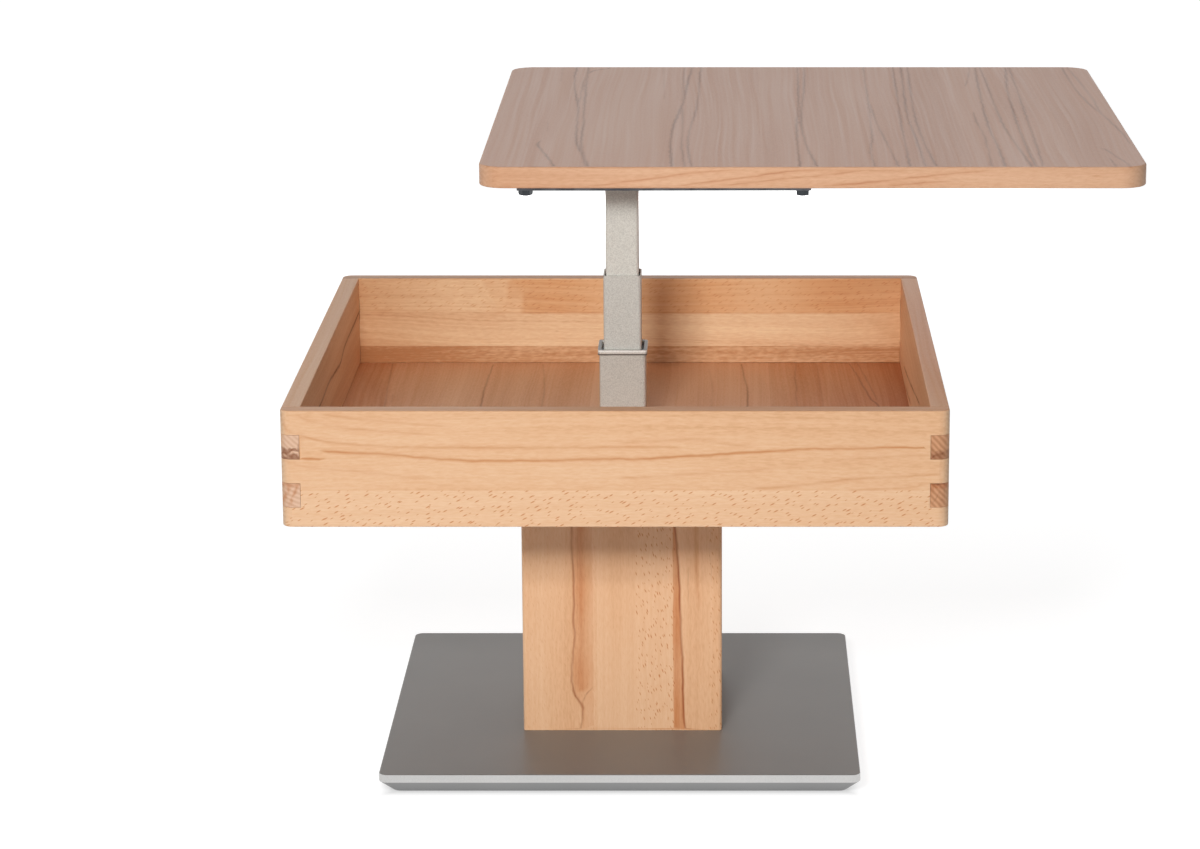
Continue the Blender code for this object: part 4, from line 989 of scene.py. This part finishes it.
# The stages of the telescope are given slightly different tones: the inner tube lightest, the outer darkest.
POWDER = "silver-grey powder coat"
inner_coat = flaked_coat(POWDER + " with flakes, lightest, inner tube", "#CCCAC1", "#E8E7DE")
middle_coat = flaked_coat(POWDER + " with flakes, baked", "#C1BFB7", "#DCDBD3")
outer_coat = flaked_coat(POWDER + " with flakes, darkest, outer tube", "#BAB5AB", "#D6D1C7")
collar_coat = flaked_coat(POWDER + " with flakes, baked on the collar", "#C6C0B6", "#E3DED3")
# A painted highlight for the upper arris of the collar, and a painted shadow for its foot.
collar_painted_highlight = flaked_coat(POWDER + ", lightened as painted highlight", "#F4F3EC", "#FBFAF4", 0.06, 0.30, 0.0021)
collar_end = flaked_coat("steel section, sawn", "#7A7774", "#8B8885", 1.0, 0.40, 0.0010)
collar_painted_shadow = flaked_coat("dark band, painted shadow under the collar", "#6A635C", "#787169", 0.0, 0.60, 0.0010)

# %% Coat the base and the telescope
base_cover = clean_copy("base_cover", "base_steel_cover")
# Upright faces get the lightened steel, painted light, and faces turned down the darkened steel, painted shade.
for face in base_cover.data.polygons:
    face.material_index = 0 if face.normal.z > 0.75 else 1 if face.normal.z > -0.3 else 2
hand_over(base_cover, "stand", "base_steel", (base_lacquer, rim_painted_light, lip_painted_shade), "base_cover")
# The top strip of the collar is a painted highlight, and the strip round its foot a painted shadow.
HIGHLIGHT_STRIP = 0.0023
SHADOW_STRIP = 0.0017
collar_low, collar_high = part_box("lift_collar")
collar = clean_copy("lift_collar", "lift_collar_coated", 0.0008, 0.03)
shape = bmesh.new()
shape.from_mesh(collar.data)
for height in (collar_high.z - HIGHLIGHT_STRIP, collar_low.z + SHADOW_STRIP):
    everything = shape.verts[:] + shape.edges[:] + shape.faces[:]
    bmesh.ops.bisect_plane(shape, geom=everything, plane_co=(0, 0, height), plane_no=(0, 0, 1))
shape.to_mesh(collar.data)
shape.free()
for face in collar.data.polygons:
    height = face.center.z
    if face.normal.z > 0.97:
        face.material_index = 2
    elif height > collar_high.z - HIGHLIGHT_STRIP:
        face.material_index = 1
    else:
        face.material_index = 3 if height < collar_low.z + SHADOW_STRIP else 0
hand_over(collar, "stand", "coated_steel", (collar_coat, collar_painted_highlight, collar_end, collar_painted_shadow), "lift_collar")
for node, body, coat in (("lift_outer_tube", "stand", outer_coat), ("lift_middle_tube", "lift_middle", middle_coat),
                         ("lift_inner_tube", "lift_inner", inner_coat)):
    hand_over(clean_copy(node, node + "_coated"), body, "coated_steel", (coat,), node)

# %% [markdown]
# ## Nuts under the carrier
# Four hexagon nuts on studs hold the carrier to the blocks that slide in the rails. Two of them hang below the front
# edge of the top. They repeat, so Geometry Nodes make them: a hexagon whose corners are turned off by a flattened
# ball, and a stud through it, set on the points of a two by two grid. Each is turned a little further than the last,
# as a spanner leaves them.

# %% A finish for small steel
def speckled(name, dark, light, scale, roughness, metallic=0.0, stretch=(1, 1, 1), bump=0.1, contrast=(0.35, 0.65),
             uneven=0.06):
    """A finish of two tones in a fine pattern: moulded grain, felt hair, chips of a board or lines of a drawn bar."""
    finish, tree, shader = new_finish(name)
    spot = put(tree, "TexCoord").outputs["Object"]
    drawn = put(tree, "VectorMath", {0: spot, 1: stretch}, operation="MULTIPLY")
    grain = put(tree, "TexNoise", {"Vector": drawn, "Scale": scale, "Detail": 3.0})
    mix = put(tree, "MapRange", {"Value": grain, "From Min": contrast[0], "From Max": contrast[1]})
    colour = put(tree, "Mix", {0: mix, 6: paint(dark), 7: paint(light)}, data_type="RGBA").outputs[2]
    gloss = put(tree, "MapRange", {"Value": grain, "To Min": roughness - uneven, "To Max": roughness + uneven})
    feed(shader, {"Base Color": colour, "Metallic": metallic, "Roughness": gloss})
    if bump:
        feed(shader, {"Normal": put(tree, "Bump", {"Strength": bump, "Distance": 0.0003, "Height": grain})})
    return finish


# The zinc is a dark cool grey with soft, cloudy spangles: partly painted shade, for the shade under the top where
# the nuts hang.
zinc = speckled("zinc, electroplated, darkened as painted shade", "#34373A", "#4E5256", 350.0, 0.25, 1.0, bump=0.0,
                contrast=(0.0, 1.0), uneven=0.09)
print("small steel:", zinc.name)

# %% Measure the nuts
NUT_ACROSS_FLATS = 0.013
STUD_RADIUS = 0.004
STUD_END = 0.0008
SEAT_GAP = 0.0001
bolt_nodes = ["carrier_bolt_front_left", "carrier_bolt_back_left", "carrier_bolt_front_right",
              "carrier_bolt_back_right"]
bolt_boxes = [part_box(node) for node in bolt_nodes]
centres = [(box_low + box_high) / 2 for box_low, box_high in bolt_boxes]
nut_bottom, stud_top = bolt_boxes[0][0].z, bolt_boxes[0][1].z
nut_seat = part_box("carrier_front_bar")[0].z
middle = sum(centres, Vector()) / 4
sizes = {
    "Span Along": centres[2].x - centres[0].x,
    "Span Across": centres[1].y - centres[0].y,
    "Centre": (middle.x, middle.y, 0.0),
    "Nut Corner Radius": NUT_ACROSS_FLATS / math.sqrt(3),
    "Nut Height": nut_seat - nut_bottom - SEAT_GAP,
    "Nut Bottom": nut_bottom,
    "Stud Radius": STUD_RADIUS,
    "Stud Bottom": nut_bottom - STUD_END,
    "Stud Top": stud_top,
    "First Turn": math.radians(7),
    "Turn Step": math.radians(11.5),
    "Finish": zinc,
}
print("nut height:", round(sizes["Nut Height"], 4))

# %% Build the nuts with Geometry Nodes
SOCKET_KINDS = {float: "NodeSocketFloat", tuple: "NodeSocketVector", bpy.types.Material: "NodeSocketMaterial"}
group = bpy.data.node_groups.new("hexagon nuts on studs", "GeometryNodeTree")
sockets = {label: group.interface.new_socket(label, in_out="INPUT", socket_type=SOCKET_KINDS[type(value)])
           for label, value in sizes.items()}
group.interface.new_socket("Geometry", in_out="OUTPUT", socket_type="NodeSocketGeometry")
given = put(group, "NodeGroupInput").outputs
points = put(group, "GeometryNodeMeshGrid", {"Size X": given["Span Along"], "Size Y": given["Span Across"],
                                             "Vertices X": 2, "Vertices Y": 2})
points = put(group, "GeometryNodeTransform", {"Geometry": points, "Translation": given["Centre"]})
hexagon = put(group, "GeometryNodeMeshCylinder", {"Vertices": 6, "Radius": given["Nut Corner Radius"],
                                                  "Depth": given["Nut Height"]})
ball = put(group, "GeometryNodeMeshUVSphere", {"Segments": 32, "Rings": 18, "Radius": 1.0})
ball_up = put(group, "Math", {0: given["Nut Height"], 1: 1.25}, operation="MULTIPLY")
ball_wide = put(group, "Math", {0: given["Nut Corner Radius"], 1: 1.03}, operation="MULTIPLY")
ball_size = put(group, "CombineXYZ", {0: ball_wide, 1: ball_wide, 2: ball_up})
ball = put(group, "GeometryNodeTransform", {"Geometry": ball, "Scale": ball_size})
nut = put(group, "GeometryNodeMeshBoolean", operation="INTERSECT")
for solid in (hexagon, ball):
    feed(nut, {"Mesh 2": solid})
stud_length = put(group, "Math", {0: given["Stud Top"], 1: given["Stud Bottom"]}, operation="SUBTRACT")
stud = put(group, "GeometryNodeMeshCylinder", {"Vertices": 24, "Radius": given["Stud Radius"], "Depth": stud_length})
pair = put(group, "GeometryNodeJoinGeometry")
# Both lie with their middles at the origin, so each is lifted by its bottom and half its height.
for solid, height, bottom in ((nut, given["Nut Height"], given["Nut Bottom"]),
                              (stud, stud_length, given["Stud Bottom"])):
    lift = put(group, "Math", {0: height, 1: 0.5, 2: bottom}, operation="MULTIPLY_ADD")
    lift = put(group, "CombineXYZ", {2: lift})
    feed(pair, {0: put(group, "GeometryNodeTransform", {"Geometry": solid, "Translation": lift})})
turn = put(group, "Math", {0: put(group, "GeometryNodeInputIndex"), 1: given["Turn Step"], 2: given["First Turn"]},
           operation="MULTIPLY_ADD")
turn = put(group, "FunctionNodeEulerToRotation", {0: put(group, "CombineXYZ", {2: turn})})
placed = put(group, "GeometryNodeInstanceOnPoints", {"Points": points, "Instance": pair, "Rotation": turn})
placed = put(group, "GeometryNodeRealizeInstances", {0: placed})
plated = put(group, "GeometryNodeSetMaterial", {"Geometry": placed, "Material": given["Finish"]})
put(group, "NodeGroupOutput", {0: plated})
print("nodes in the tree:", len(group.nodes))

# %% Turn the nuts into a mesh
carrier_nuts = bpy.data.objects.new("carrier_nuts", bpy.data.meshes.new("carrier_nuts"))
bpy.context.scene.collection.objects.link(carrier_nuts)
maker = carrier_nuts.modifiers.new("nuts", "NODES")
maker.node_group = group
for label, value in sizes.items():
    maker[sockets[label].identifier] = value
bpy.context.view_layer.update()
made = bpy.data.meshes.new_from_object(carrier_nuts.evaluated_get(bpy.context.evaluated_depsgraph_get()))
carrier_nuts.modifiers.clear()
carrier_nuts.data = made
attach(carrier_nuts, "lift_inner")
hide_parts(*bolt_nodes)
print("nuts:", len(made.polygons), "faces, at", [tuple(round(c, 4) for c in centre) for centre in centres])

# %% [markdown]
# ## What hardly shows
# Some pieces show only from below, through a gap or in another pose: glides, felt pads, rails, bushes, screws, the
# gas spring and the boards inside the base and the column. Their shapes in the frame are right, so they stay and get
# finishes of their own.

# %% Finishes for the hidden pieces
HIDDEN_FINISHES = {
    "inner_board": speckled("wood chip board, pressed", "#A98A62", "#CDB083", 260.0, 0.75, bump=0.3),
    "raw_steel": speckled("steel plate, hot rolled", "#55565A", "#75767A", 60.0, 0.50, 1.0),
    "zinc_steel": zinc,
    "black_nylon": speckled("black nylon, moulded", "#171717", "#232323", 900.0, 0.48),
    "spring_black": speckled("black enamel, dipped", "#0F0F10", "#1B1B1C", 180.0, 0.30),
    "rod_chrome": speckled("steel rod, hard chromed", "#B9BABD", "#C9CACC", 40.0, 0.12, 1.0, (1, 1, 14)),
    "plain_aluminium": speckled("aluminium section, drawn", "#A9ABAD", "#C4C6C8", 900.0, 0.34, 1.0, (0.02, 1, 1)),
    "grey_felt": speckled("grey wool felt, pressed", "#5E5A56", "#7D7874", 1500.0, 0.92, bump=0.6),
}
replaced = {n for n in nodes if nodes[n].hide_render}
for part in frame["record"]["subparts"]:
    node, slot = part["node"], part["material_slot"]
    if node not in replaced:
        piece = nodes[node]
        if not piece.material_slots:
            piece.data.materials.append(None)
        for i in range(len(piece.material_slots)):
            piece.material_slots[i].material = HIDDEN_FINISHES[slot]
print("kept from the frame:", len(nodes) - len(replaced), "pieces")
